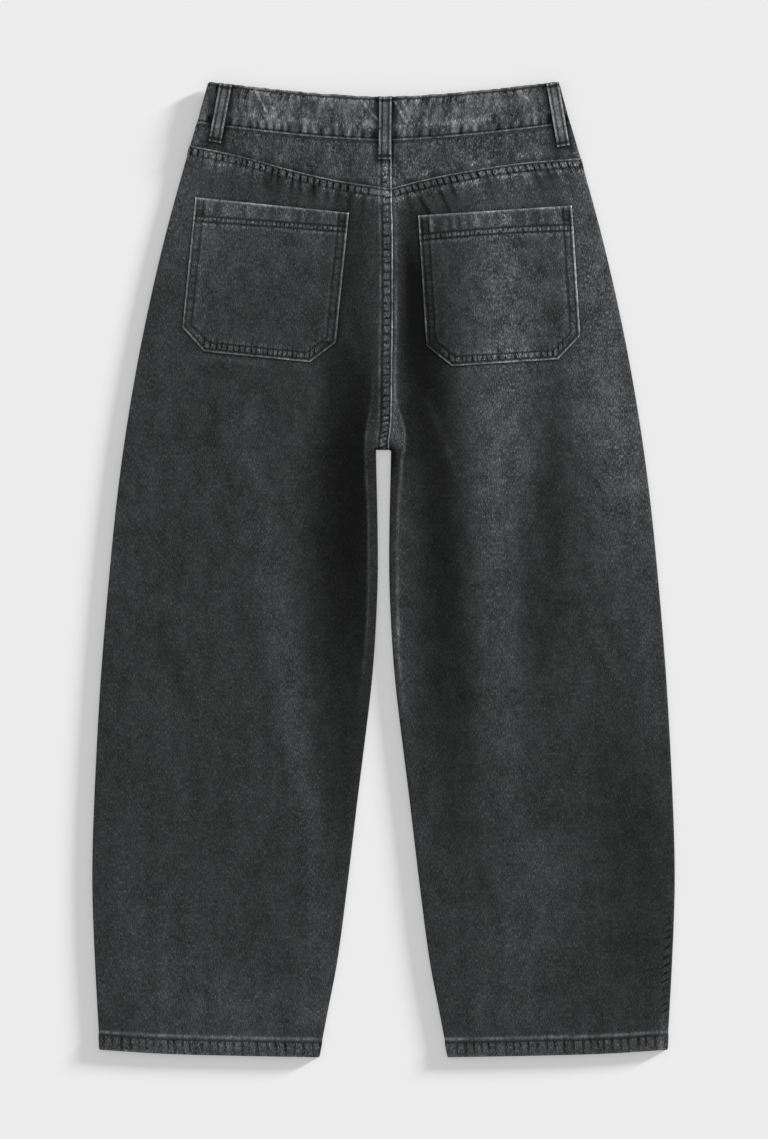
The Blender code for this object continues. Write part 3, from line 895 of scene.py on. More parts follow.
def centre_seam_on(cloth, x, y, seed):
    """The felled centre seam, which lies on the left side of its folded edge."""
    above = y > CROTCH - 0.01
    lap = np.where(above & (x <= centre_seam(y) + 0.01), centre_seam(y) - x, FAR)
    low = ease((170 - y) / 35)
    light = 140.0 - 50.0 * ease((y - 370) / 14)
    cloth.folded_edge(lap, y, seed, light, width=1.0, middle=0.4)
    cloth.stitched(lap - CENTRE_ROW_1, y, seed + 3, dark=15.0 + 8.0 * low)
    cloth.stitched(lap - CENTRE_ROW_2, y, seed + 5, dark=14.0 + 4.0 * low)
    cloth.tone += (16.0 + 6.0 * low) * inside(lap, 2.8, 9.2)
    # The furrows lean over, and are closest and deepest where the seams meet at the crotch
    count_y = y - 0.45 * ease((158 - y) / 12) * (158 - y) + (0.1 + 0.5 * low) * lap
    light, dark = 11.0 + 10.0 * low, 38.0 + 12.0 * low
    cloth.puckered(lap, count_y, seed + 7, 3.0, 9.0, light, dark, beyond=0.2)
    worn = np.clip(0.7 + 0.5 * waver(y, seed + 9, 22.0) + 0.4 * waver(y, seed + 10, 5.0), 0.1, 1.6)
    cloth.edge += (34.0 - 10.0 * low) * worn * bump_at(lap, 12.7, 1.2)
    knot = bump_at(np.hypot((x + 5.0) / 2.6, (y - 134.0) / 13.0), 0.0, 1.0)
    cloth.tone += 22.0 * knot
    beside = np.where(above & (x > centre_seam(y)), x - centre_seam(y), FAR)
    # Painted shadow of the folded edge on the cloth just right of it
    cloth.tone -= 8.0 * bump_at(beside, 1.0, 1.0)
    worn = np.clip(0.8 + 0.4 * waver(y, seed + 11, 26.0) + 0.3 * waver(y, seed + 12, 6.0), 0.1, 1.8)
    bright = 16.0 + 16.0 * bump_at(y, 275.0, 75.0) - 14.0 * low
    cloth.edge += bright * worn * bump_at(beside, 3.2, 1.5)
    cloth.tone += (14.0 - 12.0 * low) * hill(beside, 11.0) * (y < 400)
    return lap


# %% Creases on the back, painted as shade in their troughs and light on their ridges
BACK_CREASES = [
    # start x, start y, end x, end y, half width, tone at the start, tone at the end
    (31, 378, 46, 356, 1.9, -16, -22), (55, 381, 66, 357, 1.7, -14, -20),
    (24, 376, 31, 364, 1.6, -18, -5), (37, 374, 51, 357, 2.6, 9, 6),
    (45, 380, 53, 366, 1.5, -12, -4), (66, 383, 73, 372, 1.5, -10, -2),
    (21, 326, 30, 292, 5.0, -4, -16), (30, 292, 32, 235, 7.0, -14, -8),
    (44, 168, 66, 116, 4.5, 9, 11), (66, 116, 76, 84, 4.5, 9, 3),
    (-118, 385, -108, 372, 2.2, -8, -3), (-84, 380, -76, 368, 2.0, -8, -3),
    (-60, 377, -52, 366, 2.0, -8, -2), (-160, 396, -152, 380, 2.6, -7, -2),
    (84, 384, 92, 372, 2.0, -8, -2), (112, 388, 120, 376, 2.2, -8, -2),
    (152, 392, 160, 378, 2.4, -7, -2), (-36, 240, -22, 196, 5.0, 6, 3),
    (150, 160, 205, 96, 6.0, -4, -5), (96, 60, 132, 10, 7.0, 4, 2),
    (-210, 120, -168, 60, 8.0, 4, 2), (-232, -60, -196, -130, 8.0, -3, -4),
    (206, -40, 232, -110, 7.0, 3, 4), (88, -260, 104, -330, 7.0, -3, -3),
]


def creases_on(cloth, x, y, creases, raised=0.018):
    """Long soft troughs and ridges, each with its own slant, length and depth: painted shade in the
    troughs and painted light on the ridges, over a slight relief.
    """
    for x0, y0, x1, y1, width, tone0, tone1 in creases:
        distance, _, tone = nearest_on([(x0, y0, tone0), (x1, y1, tone1)], x, y)
        soft = hill(distance, width) * tone[..., 0]
        # Painted shade where the tone is below 0, and painted light where it is above
        cloth.tone += soft
        cloth.relief += raised * soft


# %% Parts of the back
def round_pockets(cloth, x, y):
    """Painted shadow close beside the pockets, and a light bank under them."""
    for name in POCKETS:
        u, v = on_pocket(name, x, y)
        around = np.maximum(-pocket_edge(u, v), -v)
        # Painted shadow of each pocket on the cloth close beside it
        cloth.tone -= 9.0 * hill(around, 2.4) * (around > -2)
        below = bump_at(v, POCKET_DEPTH + 4.0, 5.0) * (np.abs(u) < POCKET_HALF - 15)
        cloth.tone += (8.0 if name == "pocket_left" else 3.0) * below


def side_puckers(cloth, x, y, from_edge):
    """Puckers down the side seams, strongest low on the right."""
    outer = np.abs(x) > 150
    side = np.where(x > 0, ease((-290 - y) / 120), 0.3 * ease((-380 - y) / 80)) * outer
    near_side = inside(from_edge, 2.5, 9.0, 4.0) * side
    leaning = y + 0.6 * from_edge
    cloth.drawn_up(near_side, outer & (from_edge < 20), leaning, 36, 7.0, 34.0, gap=8.0)


def back_hem(cloth, x, above_hem):
    """The hem, turned up twice: puckered below its row, with a rubbed line above."""
    cloth.relief += FELL_RISE * (1 - ease((above_hem - HEM_FOLD) / 1.2))
    cloth.relief -= 0.5 * bump_at(above_hem, 0.0, 0.6)
    cloth.stitched(above_hem - HEM_ROW, x, 31, dark=16.0, depth=0.35)
    turned_up = inside(above_hem, -2.0, 14.0, 1.0) * (0.2 + 0.8 * ease(above_hem / 13.0))
    tail = 0.3 * tail_off(above_hem, 16.0, 4.0) * (above_hem > 16.0)
    leaning = x + 0.04 * above_hem
    cloth.drawn_up(turned_up + tail, above_hem < 30, leaning, 33, 5.0, 38.0, gap=8.2)
    cloth.tone += 11.0 * inside(above_hem, -3.0, 14.0)
    cloth.tone += 14.0 * bump_at(above_hem, 0.6, 1.0)
    cloth.edge += 40.0 * bump_at(above_hem, 18.2, 1.6) * (0.85 + 0.3 * waver(x, 34, 9.0))


def yoke_seam(cloth, x, below_yoke):
    """The felled seam below the yoke, whose puckers run on down as soft ripples."""
    cloth.relief += FELL_RISE * inside(below_yoke, -5, FELL_WIDTH + 0.5, 1.2)
    right = ease((x - 6) / 12)
    cloth.folded_edge(below_yoke, x, 11, light=70.0 - 8.0 * right, width=1.1)
    cloth.stitched(below_yoke - ROW_1, x, 12, dark=13.0 + 9.0 * right)
    cloth.stitched(below_yoke - ROW_2, x, 14, dark=14.0 + 20.0 * right)
    leaning = x + np.where(x > 8, -0.38, 0.12) * below_yoke
    light = 28.0 - 5.0 * right
    cloth.puckered(below_yoke, leaning, 16, 2.6, 8.4, light, 70.0, beyond=0.55, gap=6.6)
    cloth.tone += (9.0 + 10.0 * right) * bump_at(below_yoke, 12.0, 2.6)
    fading = ease((below_yoke - 9.0) / 2.0) * tail_off(below_yoke, 12.0, 9.0)
    ripples = waver(leaning, 17, 4.5) + 0.5 * waver(leaning, 18, 11.0)
    cloth.tone += 27.0 * ripples * fading
    cloth.relief += 0.25 * ripples * fading


def back_cloth(x, y):
    """Relief and tone of the back panels at any points."""
    cloth = Cloth(wash_and_fold_shade(x, y))
    crease_strips(cloth, x, y)
    creases_on(cloth, x, y, BACK_CREASES)
    below_yoke = yoke_y(x) - y
    from_edge, _, _ = edge_distance(x, y)
    round_pockets(cloth, x, y)
    side_puckers(cloth, x, y, from_edge)
    back_hem(cloth, x, y - hem_y(x))
    yoke_seam(cloth, x, below_yoke)
    lap = centre_seam_on(cloth, x, y, 21)
    plain = 1 - 0.6 * inside(below_yoke, -5, 10)
    cloth.relief += FELL_RISE * inside(lap, -5, FELL_WIDTH + 1.2, 1.2) * plain
    # The crotch is a thick knot of seams, with painted shade where it rolls under and just right of
    # it
    low = np.where((x > -9) & (x < 8), y - CROTCH, FAR)
    cloth.tone -= 30.0 * inside(low, -3.0, 2.0, 1.5)
    cloth.tone -= 34.0 * bump_at(np.hypot((x - 9.0) / 3.4, (y - 112.0) / 13.0), 0.0, 1.0)
    # Folds along the outline are rubbed
    rubbed = 0.6 + 0.5 * waver(y, 41, 9.0)
    cloth.tone += 6.0 * bump_at(from_edge, 1.2, 1.6) * rubbed * (np.abs(x) > 30)
    return cloth


# %% Back panels
def place_back(x, y, cloth):
    """Corner positions on the back, with the relief pushed out along the surface normal."""
    height, normal = back_surface(x, y)
    base = np.stack([x, y, height], axis=-1)
    return base + normal * cloth.relief[..., None]


def below_crotch(rows, x, laps):
    """The faces to leave out: the columns over the middle seam end at the crotch."""
    skipped = np.zeros((x.shape[0] - 1, x.shape[1] - 1), bool)
    skipped[sum(above for above, _ in rows) - 1:, :laps] = True
    return skipped


def back_leg(side):
    lap = steps((3, 0.6), (13, 0.8), (15.5, 0.875))
    inner_steps, outer_steps = past_turn((13 if side < 0 else 19, 1.1)), past_turn((12, 1.5))
    rows = leg_rows(
        yoke_y,
        steps((3, 0.6), (11, 0.8), (20, 1.5), (180, 3.4), (254, 1.6), (260.5, 0.7)),
        steps((10, 1.0), (60, 2.5), (560, 4.4), (584, 2.0), (607, 0.9)),
    )

    def columns_of(above, row_y):
        seam_x = float(centre_seam(row_y(YOKE_POINT))) if above else YOKE_POINT
        if not above:
            inner = meet(row_y, inner_half, side)
        else:
            inner = seam_x + SEAM_GAP if side > 0 else -float(inner_half(CROTCH))
        outer = meet(row_y, outer_half, side)
        columns = panel_columns(inner, outer, inner_steps, outer_steps, 104)
        if side > 0:
            return columns
        return np.concatenate([seam_x - lap[:-1] * (seam_x - columns[0]) / lap[-1], columns])

    x, y = grid_corners(rows, columns_of)
    skipped = below_crotch(rows, x, len(lap) - 1 if side < 0 else 0)
    cloth = back_cloth(x, y)
    spots = place_back(x, y, cloth)
    flat = np.stack([x, y], -1)
    name = "cloth_back_leg_" + SIDES[side]
    make_cloth(name, spots, cloth, flat, WALL, skipped)


for side in SIDES:
    back_leg(side)

# %% [markdown]
# ## Yoke
#
# The yoke is the curved wedge of cloth between the waistband and the back panels. Its lower
# edge lies under the folded edge of the panels, and its upper edge under the waistband.

# %% Yoke
BACK_LOOPS = {
    # x of the top, x and y of the bottom
    "belt_loop_back_left": (-157.6, -168.6, 426.5),
    "belt_loop_back_centre": (2.0, 1.2, 409.2),
    "belt_loop_back_right": (168.8, 179.8, 422.5),
}


def painted_loop_shade(x, y):
    """Painted shade close beside the belt loops, as a share, but not under them."""
    shade = 0.0
    for top_x, low_x, low_y in BACK_LOOPS.values():
        middle = low_x + (top_x - low_x) * (y - low_y) / (480 - low_y)
        beside, below = np.abs(x - middle) - 6.0, low_y - y
        beyond = np.hypot(np.maximum(beside, 0), np.maximum(below, 0))
        bare = ease((np.maximum(beside, below) + 3.5) / 3.0)
        shade = np.maximum(shade, bare * hill(beyond, 5.4))
    return shade


YOKE_CREASES = [
    # start x, start y, end x, end y, tone
    (14, 408, 21, 388, -16), (30, 412, 36, 396, 8), (58, 418, 66, 402, -6),
    (104, 424, 112, 406, 8), (-28, 424, -34, 398, -9), (-52, 420, -60, 402, 8),
    (-96, 426, -104, 406, 9), (-128, 430, -134, 412, -7), (142, 428, 150, 410, -6),
    (-14, 420, -18, 396, 7),
]


def yoke_cloth(x, y):
    cloth = Cloth(0.5 * wash_and_fold_shade(x, y) + 0.5 * 66.0 + 6.5 + 3.0 * waver(x, 50, 22.0))
    above_seam = y - yoke_y(x)
    below_band = seam_y(x) - y
    # Painted shadow of the back panels' folded edge on the yoke, just above the seam
    cloth.tone -= 13.0 * bump_at(above_seam, 1.8, 1.9)
    cloth.tone += 5.0 * bump_at(above_seam, 7.0, 3.0) * (0.5 + 0.5 * waver(x, 51, 8.0))
    cloth.tone += 11.0 * waver(x, 54, 5.5) * bump_at(above_seam, 5.0, 6.0)
    # Painted shadow of the waistband's edge on the yoke, just below it
    cloth.tone -= 13.0 * bump_at(below_band, 1.8, 1.5)
    near = tail_off(below_band, 3.0, 3.5) * ease(below_band - 2.5)
    cloth.drawn_up(near, below_band < 18, x + 0.1 * below_band, 52, 9.0, 30.0)
    lap = centre_seam_on(cloth, x, y, 53)
    cloth.relief += FELL_RISE * inside(lap, -5, FELL_WIDTH + 1.2, 1.2)
    # Long troughs and ridges that run down from the waistband into the seam, painted as shade and
    # light
    creases = [(*ends, 2.4, tone, tone) for *ends, tone in YOKE_CREASES]
    creases_on(cloth, x, y, creases, raised=0.015)
    # Painted shade beside the belt loops
    cloth.tone -= 34.0 * painted_loop_shade(x, y)
    from_edge, _, _ = edge_distance(x, y)
    cloth.tone += 9.0 * bump_at(from_edge, 1.2, 1.6)
    return cloth


def yoke(side):
    inner_steps, outer_steps = steps((3, 0.6), (13, 0.8), (16, 1.5)), past_turn((8, 2.0))
    runs = np.linspace(0, 0.12, 8), np.linspace(0.12, 0.85, 24)[1:], np.linspace(0.85, 1, 9)[1:]
    rows = [
        (True, lambda x, s=s: (seam_y(x) - SEAM_GAP) * (1 - s) + (yoke_y(x) + SEAM_GAP) * s)
        for s in np.concatenate(runs)
    ]

    def columns_of(_, row_y):
        seam_x = float(centre_seam(row_y(YOKE_POINT))) + (SEAM_GAP if side > 0 else 0)
        outer = meet(row_y, outer_half, side)
        return panel_columns(seam_x, outer, inner_steps, outer_steps, 84)

    x, y = grid_corners(rows, columns_of)
    cloth = yoke_cloth(x, y)
    make_cloth(
        "cloth_yoke_" + SIDES[side], place_back(x, y, cloth), cloth, np.stack([x, y], -1), WALL,
        weave=speckled_denim,
    )


for side in SIDES:
    yoke(side)

# %% [markdown]
# ## Waistband
#
# The waistband is one long strip, folded in two along its top edge and closed at the front.
# Laid flat it is a ring: a run across the back, a tight turn at each side, and two front
# ends that lap over each other at the button. A list of places along the ring gives each
# column its x and height, and the rows climb from the seam to the top edge.

# %% The ring in section
LAP, LAP_RAMP_END = 20.0, 60.0
BUTTONHOLE = (-13.0, 5.0)
BUTTONHOLE_LOW, BUTTONHOLE_HIGH = 0.46, 0.54
FRONT_COLUMNS, BACK_COLUMNS = 76, 260
BAND_ROW = 2.7


def band_back_height(x):
    level = waist_lift(x) + (BAND_WALL - WALL) / 2 + WALL + SEAM_GAP
    return level + FOLD_RADIUS + hill(x, BULGE_WIDTH) + (BAND_WALL - WALL) * 0.75


def band_section(half_width):
    """Middle line of the ring: x, height, share of the front, and distance along it."""
    side_height = float(band_back_height(half_width) - waist_lift(half_width))
    radius = side_height / 2
    turn_x = half_width - radius
    middle = radius - BAND_WALL / 2
    turn_z = float(waist_lift(half_width)) + radius

    def front(xs):
        over = np.where(xs < LAP + 1, 1.0, 1 - ease((xs - LAP - 1) / (LAP_RAMP_END - LAP - 1)))
        return waist_lift(xs) + BAND_WALL / 2 + (BAND_WALL + SEAM_GAP) * over

    def turn(degrees):
        angle = np.radians(degrees)
        return middle * np.cos(angle), turn_z + middle * np.sin(angle)

    under = np.linspace(-LAP, turn_x, FRONT_COLUMNS)
    right = np.linspace(-80, 80, 9)
    back = np.linspace(turn_x, -turn_x, BACK_COLUMNS)
    left = np.linspace(100, 260, 9)
    over = np.linspace(-turn_x, LAP, FRONT_COLUMNS)
    rx, rz = turn(right)
    lx, lz = turn(left)
    x = np.concatenate([under, turn_x + rx, back, -turn_x + lx, over])
    z = np.concatenate([
        front(under), rz, band_back_height(back) - BAND_WALL / 2, lz,
        waist_lift(over) + BAND_WALL / 2,
    ])
    share = np.concatenate([
        np.ones(FRONT_COLUMNS), 0.5 - right / 180, np.zeros(BACK_COLUMNS), (left - 90) / 180,
        np.ones(FRONT_COLUMNS),
    ])
    along = np.concatenate([[0], np.cumsum(np.hypot(np.diff(x), np.diff(z)))])
    on_back = slice(FRONT_COLUMNS + 9, FRONT_COLUMNS + 9 + BACK_COLUMNS)
    middle_of_back = np.interp(0.0, x[on_back][::-1], along[on_back][::-1])
    return x, z, share, along - middle_of_back


# %% Waistband cloth
BAND_CREASES = [
    # start x, start up from the seam, end x, end up from the seam, strength
    (-128, 41, -117, 20, 44), (-112, 26, -104, 20, 18), (-85, 29, -73, 22, 22),
    (-21, 39, -6, 21, 42), (-52, 34, -46, 22, 12), (11, 40, 23, 17, 42), (46, 36, 50, 24, 10),
    (84, 34, 92, 24, 12), (100, 18, 124, 22, 14), (62, 12, 66, 26, 10), (-150, 38, -147, 16, 12),
    (141, 34, 150, 20, 12), (-64, 14, -58, 26, 10), (120, 38, 132, 26, 12),
]


def band_cloth(x, up, depth, along, front):
    """Tone and relief of the waistband, at a distance up from its seam."""
    down = depth - up
    cloudy = 5.0 * waver(along + 0.4 * up, 61, 17.0) + 4.0 * waver(along - 0.9 * up, 60, 8.0)
    cloth = Cloth(82.0 + cloudy)
    cloth.folded_edge(up, along, 62, light=27.0, width=0.9, middle=0.3)
    cloth.stitched(up - BAND_ROW, along, 65, dark=41.0)
    cloth.tone -= 4.0 * inside(up, 2.0, 9.0, 4.0)
    # Broad soft blots over the seam, where the layers inside are bunched up
    blot, depth_here = furrow_count(along + 0.1 * up, 67, 9.6)
    blots = trough(blot) * depth_here * ease((up - 1.2) / 1.5) * ease((13.0 - up) / 6.0)
    cloth.tone += 10.0 * inside(up, 2.5, 10.0, 4.0) - 58.0 * blots
    cloth.relief -= 0.4 * blots
    cloth.tone += 17.0 * bump_at(up, 14.6, 2.2) * (0.8 + 0.5 * waver(along, 68, 9.0))
    leaning = along - 0.25 * down
    cloth.puckered(down, leaning, 69, 3.8, 6.0, 14.0, 46.0, beyond=0.8, tail=2.8, gap=7.4)
    cloth.edge += 28.0 * bump_at(down, 0.9, 0.8)
    cloth.tone -= 26.0 * bump_at(down, 3.0, 1.1)
    cloth.relief -= 0.3 * bump_at(down, 3.0, 0.9)
    cloth.relief -= 0.5 * bump_at(down, 0.0, 0.6)
    for x0, up0, x1, up1, strength in BAND_CREASES:
        distance, _, _ = nearest_on([(x0, up0), (x1, up1)], x, up)
        fresh = (1 - front) * strength
        cloth.tone += fresh * (1.3 * hill(distance, 1.25) - 0.35 * hill(distance, 4.5))
        cloth.relief += 0.012 * fresh * hill(distance, 1.8)
    y = seam_y(x) + up
    # Painted shade beside the belt loops
    cloth.tone -= 50.0 * (1 - front) * painted_loop_shade(x, y)
    return cloth


def waistband():
    up_mm = steps((3, 0.6), (7, 1.0), (36, 1.3), (42.0, 0.75))
    shares = up_mm / up_mm[-1]
    side_low, side_high = float(seam_y(WAIST_HALF)), float(top_y(TOP_HALF))
    levels = side_low + (side_high - side_low) * shares
    sections = [band_section(float(outer_half(level))) for level in levels]
    x, z, front, along = (np.array([part[k] for part in sections]) for k in range(4))
    share = shares[:, None] * np.ones_like(x)
    depth = top_y(x) - seam_y(x)
    pulled = 0.45 * waver(along, 59, 3.6) * share**4
    y = seam_y(x) + depth * share - front_dip(x) * front - 0.4 * share**4 + pulled
    dx, dz = np.gradient(x, axis=1), np.gradient(z, axis=1)
    length = np.hypot(dx, dz)
    cloth = band_cloth(x, depth * share, depth, along, front)
    out = BAND_WALL / 2 + cloth.relief
    spots = np.stack([x + dz / length * out, y, z - dx / length * out], axis=-1)
    columns = x.shape[1] - 1
    middle = (x[:, 1:] + x[:, :-1]) / 2
    skipped = np.zeros((len(shares) - 1, columns), bool)
    last_run = np.arange(columns) > columns - FRONT_COLUMNS
    for j in range(len(shares) - 1):
        if BUTTONHOLE_LOW < (shares[j] + shares[j + 1]) / 2 < BUTTONHOLE_HIGH:
            skipped[j] = last_run & (middle[j] > BUTTONHOLE[0]) & (middle[j] < BUTTONHOLE[1])
    make_cloth(
        "cloth_waistband", spots, cloth, np.stack([along, depth * share], -1), BAND_WALL, skipped,
        facing="round", weave=mottled_denim,
    )


waistband()

# %% [markdown]
# ## Patch pockets
#
# A patch pocket is a square of cloth with clipped lower corners. Its edges are turned under
# and sewn down with two rows of stitches, and its top is a deeper hem with two rows of its
# own. Columns run parallel to the slanted corners, so the worn edge follows them cleanly.

# %% Pockets
POCKET_ROWS = {
    # hem rows: how far down the two rows run, how much they slope, and how much they sag
    "pocket_left": (16.2, 21.5, -0.029, 0.0),
    "pocket_right": (17.6, 23.5, 0.0, 0.0003),
}
EDGE_ROW_1, EDGE_ROW_2 = 2.5, 8.8
POCKET_TACK = 68.5


def pocket_cloth(name, u, v, seed):
    """Relief and tone of a pocket at any points of it."""
    x, y = from_pocket(name, u, v)
    on_right = name == "pocket_right"
    cloth = Cloth(wash_and_fold_shade(x, y) + (2.0 if on_right else 4.0))
    edge = pocket_edge(u, v)
    at_bottom = POCKET_DEPTH - v < POCKET_HALF - np.abs(u)
    around = np.where(at_bottom, u, np.sign(u) * (300 + v))
    low = ease((v - 118) / 16)
    # The sewn edge, which was rubbed more on one side than on the other
    cloth.relief += FELL_RISE * inside(edge, -5, FELL_WIDTH, 1.2)
    inward = (u < 0) if on_right else (u > 0)
    brighter = np.where(inward, 0.25, 0.7) if on_right else 0.45 * inward
    worn = 1.0 + brighter * ease((np.abs(u) - 30) / 40) * (v < 130)
    cloth.tone += 9.0 * inside(edge, 1.0, 12.0, 3.0) * inward * (np.abs(u) > 30) * (v < 130)
    sewn = edge - np.where((u < 0) & ~at_bottom & (not on_right), 0.0, 0.6)
    cloth.folded_edge(edge, around, seed, light=62.0 * worn, width=1.1, middle=0.45)
    darker = 8.0 if on_right else 3.0
    cloth.stitched(sewn - EDGE_ROW_1, around, seed + 2, dark=20.0 + darker)
    cloth.stitched(sewn - EDGE_ROW_2, around, seed + 4, dark=20.0 + darker)
    sides = inside(sewn, 3.2, 8.3) * ~at_bottom
    cloth.drawn_up(sides, ~at_bottom & (edge < 14), around, seed + 6, 2.0, 12.0, gap=8.5)
    bottom = inside(sewn, 3.2, 8.3) + 0.45 * tail_off(sewn, 10.0, 3.0) * (sewn > 9.6)
    bottom = bottom * at_bottom * (0.4 + 0.6 * low)
    cloth.drawn_up(bottom, at_bottom & (edge < 19), around, seed + 16, 20.0, 58.0, gap=5.8)
    cloth.tone += 6.0 * bump_at(sewn, 11.8, 1.7)
    # The hem of the mouth, with its two rows
    cloth.folded_edge(v, u, seed + 7, light=74.0, width=1.35, middle=0.6)
    first, second, slope, sag = POCKET_ROWS[name]
    bow = v - slope * u - sag * u * u
    raised = inside(bow, -5, second + 0.6, 1.2) * inside(edge, FELL_WIDTH, 400, 1.2)
    cloth.relief += FELL_RISE * raised
    cloth.stitched(bow - first, u, seed + 8, dark=25.0 + darker)
    cloth.stitched(bow - second, u, seed + 10, dark=25.0 + darker)
    between = inside(bow, first + 1.2, second - 1.2) + 0.35 * bump_at(bow, second + 2.2, 1.6)
    rows = (bow > first - 2) & (bow < second + 8) & (edge > 1.5)
    cloth.drawn_up(between, rows, u, seed + 12, 20.0, 48.0, gap=4.4)
    cloth.tone += 12.0 * bump_at(bow, second + 2.6, 1.8)
    cloth.tone += 5.0 * inside(bow, 0.0, first - 1.5)
    ripples = waver(u, seed + 13, 4.6) + 0.4 * waver(u + 0.2 * v, seed + 15, 2.6)
    cloth.tone += 15.0 * ripples * inside(bow, 3.0, first - 1.5, 2.0) * (edge > 9)
    cloth.relief += 0.12 * ripples * inside(bow, 3.0, first - 1.5, 2.0) * (edge > 9)
    # The close stitches in its corners darken the cloth
    corner = inside(edge, 2.0, 10.5, 1.2) * inside(bow, 2.0, first - 1.5, 1.2)
    cloth.tone -= 22.0 * corner * (0.7 + 0.5 * waver(v, seed + 14, 1.6))
    return cloth


def place_pocket(name, u, v, cloth):
    x, y = from_pocket(name, u, v)
    height, _ = back_surface(x, y)
    return np.stack([x, y, height + SEAM_GAP + WALL + cloth.relief], axis=-1)


def pocket(name, seed):
    corner_x, corner_y = POCKET_CORNER
    downs = steps((3, 0.6), (9, 1.5), (27, 0.9), (118, 2.0), (140, 1.1), (POCKET_DEPTH, 0.7))
    sides = steps((3, 0.6), (10, 0.9), (13, 1.5))
    middle = np.linspace(-POCKET_HALF + 13, POCKET_HALF - 13, 74)[1:-1]
    across = np.concatenate([-POCKET_HALF + sides, middle, (POCKET_HALF - sides)[::-1]])
    u, v = np.meshgrid(across, downs)
    clipped = np.maximum(0, v - (POCKET_DEPTH - corner_y)) * corner_x / corner_y
    u = u * (POCKET_HALF - clipped) / POCKET_HALF
    cloth = pocket_cloth(name, u, v, seed)
    make_cloth(
        "cloth_" + name, place_pocket(name, u, v, cloth), cloth, np.stack([u, -v], -1), WALL,
        weave=denim if name == "pocket_left" else even_denim,
    )


POCKET_SEEDS = {"pocket_left": 71, "pocket_right": 171}
for name, seed in POCKET_SEEDS.items():
    pocket(name, seed)

# %% [markdown]
# ## Belt loops
#
# A belt loop is a narrow strip with both edges turned under and a row of stitches along
# each. It is sewn down at its two ends and bows a little off the cloth between them.

# %% Belt loops
LOOP_WIDTH, LOOP_WALL, LOOP_BOW, FRONT_LOOP_WALL = 12.5, 1.5, 0.6, 1.2
LOOP_ROW, LOOP_TACK = 3.1, 3.2
FRONT_LOOP_X, FRONT_LOOP_LENGTH = 102.0, 59.0
LOOP_SEEDS = {
    "belt_loop_back_left": 190,
    "belt_loop_back_centre": 200,
    "belt_loop_back_right": 210,
    "belt_loop_front_left": 220,
    "belt_loop_front_right": 230,
}


def back_top(x, y):
    """Height of the cloth under a belt loop, with a soft step at the waistband's edge."""
    on_band = ease((y - seam_y(x)) / 4.0 + 1)
    on_fell = (np.abs(x) < LOOP_WIDTH) & (x > YOKE_POINT - FELL_WIDTH - 1)
    height, _ = back_surface(x, y)
    return (height + FELL_RISE * on_fell) * (1 - on_band) + band_back_height(x) * on_band


def front_under(x, y):
    on_band = ease((y - seam_y(x) + front_dip(x)) / 4.0 + 1)
    return front_lift(x, y) * (1 - on_band) + waist_lift(x) * on_band


def loop_cloth(u, v, length, seed):
    # The right loop of the back was rubbed most
    rubbed = 12.0 if seed == LOOP_SEEDS["belt_loop_back_right"] else 0.0
    cloth = Cloth(93.0 + rubbed + 7.0 * waver(v, seed, 9.0) - 12.0 * ease((v - length + 18) / 12))
    edge = LOOP_WIDTH / 2 - np.abs(u)
    end = np.minimum(v, length - v)
    cloth.tone += (32.0 + rubbed) * (0.8 + 0.4 * waver(v, seed + 1, 5.0)) * bump_at(edge, 0.8, 0.9)
    cloth.relief -= 0.4 * bump_at(edge, 0.0, 0.5)
    cloth.stitched(edge - LOOP_ROW, v, seed + 2, dark=54.0)
    cloth.tone += 18.0 * bump_at(end, 0.5, 1.0)
    cloth.tone -= 46.0 * inside(end, LOOP_TACK - 1.2, LOOP_TACK + 1.6, 1.0)
    cloth.relief -= 0.3 * inside(end, LOOP_TACK - 1.4, LOOP_TACK + 1.4, 1.0)
    return cloth


class Loop:
    """A belt loop: its ends, the surface under it, its side (1 is the back) and its wall."""

    def __init__(self, top, bottom, surface, out, wall):
        self.top, self.surface, self.out, self.wall = top, surface, out, wall
        line = Vector(bottom) - Vector(top)
        self.length, self.ahead = line.length, line.normalized()


def place_loop(loop, u, v, cloth):
    """Points of a belt loop: u runs across it, and v down from its top end."""
    x = loop.top[0] + loop.ahead.x * v - loop.ahead.y * u
    y = loop.top[1] + loop.ahead.y * v + loop.ahead.x * u
    bow = LOOP_BOW * np.sin(math.pi * v / loop.length)
    lift = loop.out * (SEAM_GAP + bow + loop.wall + cloth.relief)
    return np.stack([x, y, loop.surface(x, y) + lift], axis=-1)


def belt_loop(name, loop, seed):
    edges = steps((3, 0.5), (5.2, 0.55))
    across = np.concatenate([-LOOP_WIDTH / 2 + edges, [0.0], (LOOP_WIDTH / 2 - edges)[::-1]])
    down = steps((6, 0.6), (loop.length - 6, 1.2), (loop.length, 0.6))
    u, v = np.meshgrid(across, down)
    cloth = loop_cloth(u, v, loop.length, seed)
    on_back = loop.out > 0
    make_cloth(
        "cloth_" + name, place_loop(loop, u, v, cloth), cloth, np.stack([u, -v], -1), loop.wall,
        facing="up" if on_back else "down",
        weave=smooth_denim,
    )


LOOPS = {}
for name, (top_x, low_x, low_y) in BACK_LOOPS.items():
    top = (top_x, float(top_y(top_x)) - 1.0)
    LOOPS[name] = Loop(top, (low_x, low_y), back_top, 1, LOOP_WALL)
for side, word in SIDES.items():
    top_x = side * FRONT_LOOP_X
    high = float(top_y(top_x) - front_dip(top_x)) - 1.0
    bottom = (top_x, high - FRONT_LOOP_LENGTH)
    LOOPS["belt_loop_front_" + word] = Loop((top_x, high), bottom, front_under, -1, FRONT_LOOP_WALL)
for name, loop in LOOPS.items():
    belt_loop(name, loop, LOOP_SEEDS[name])
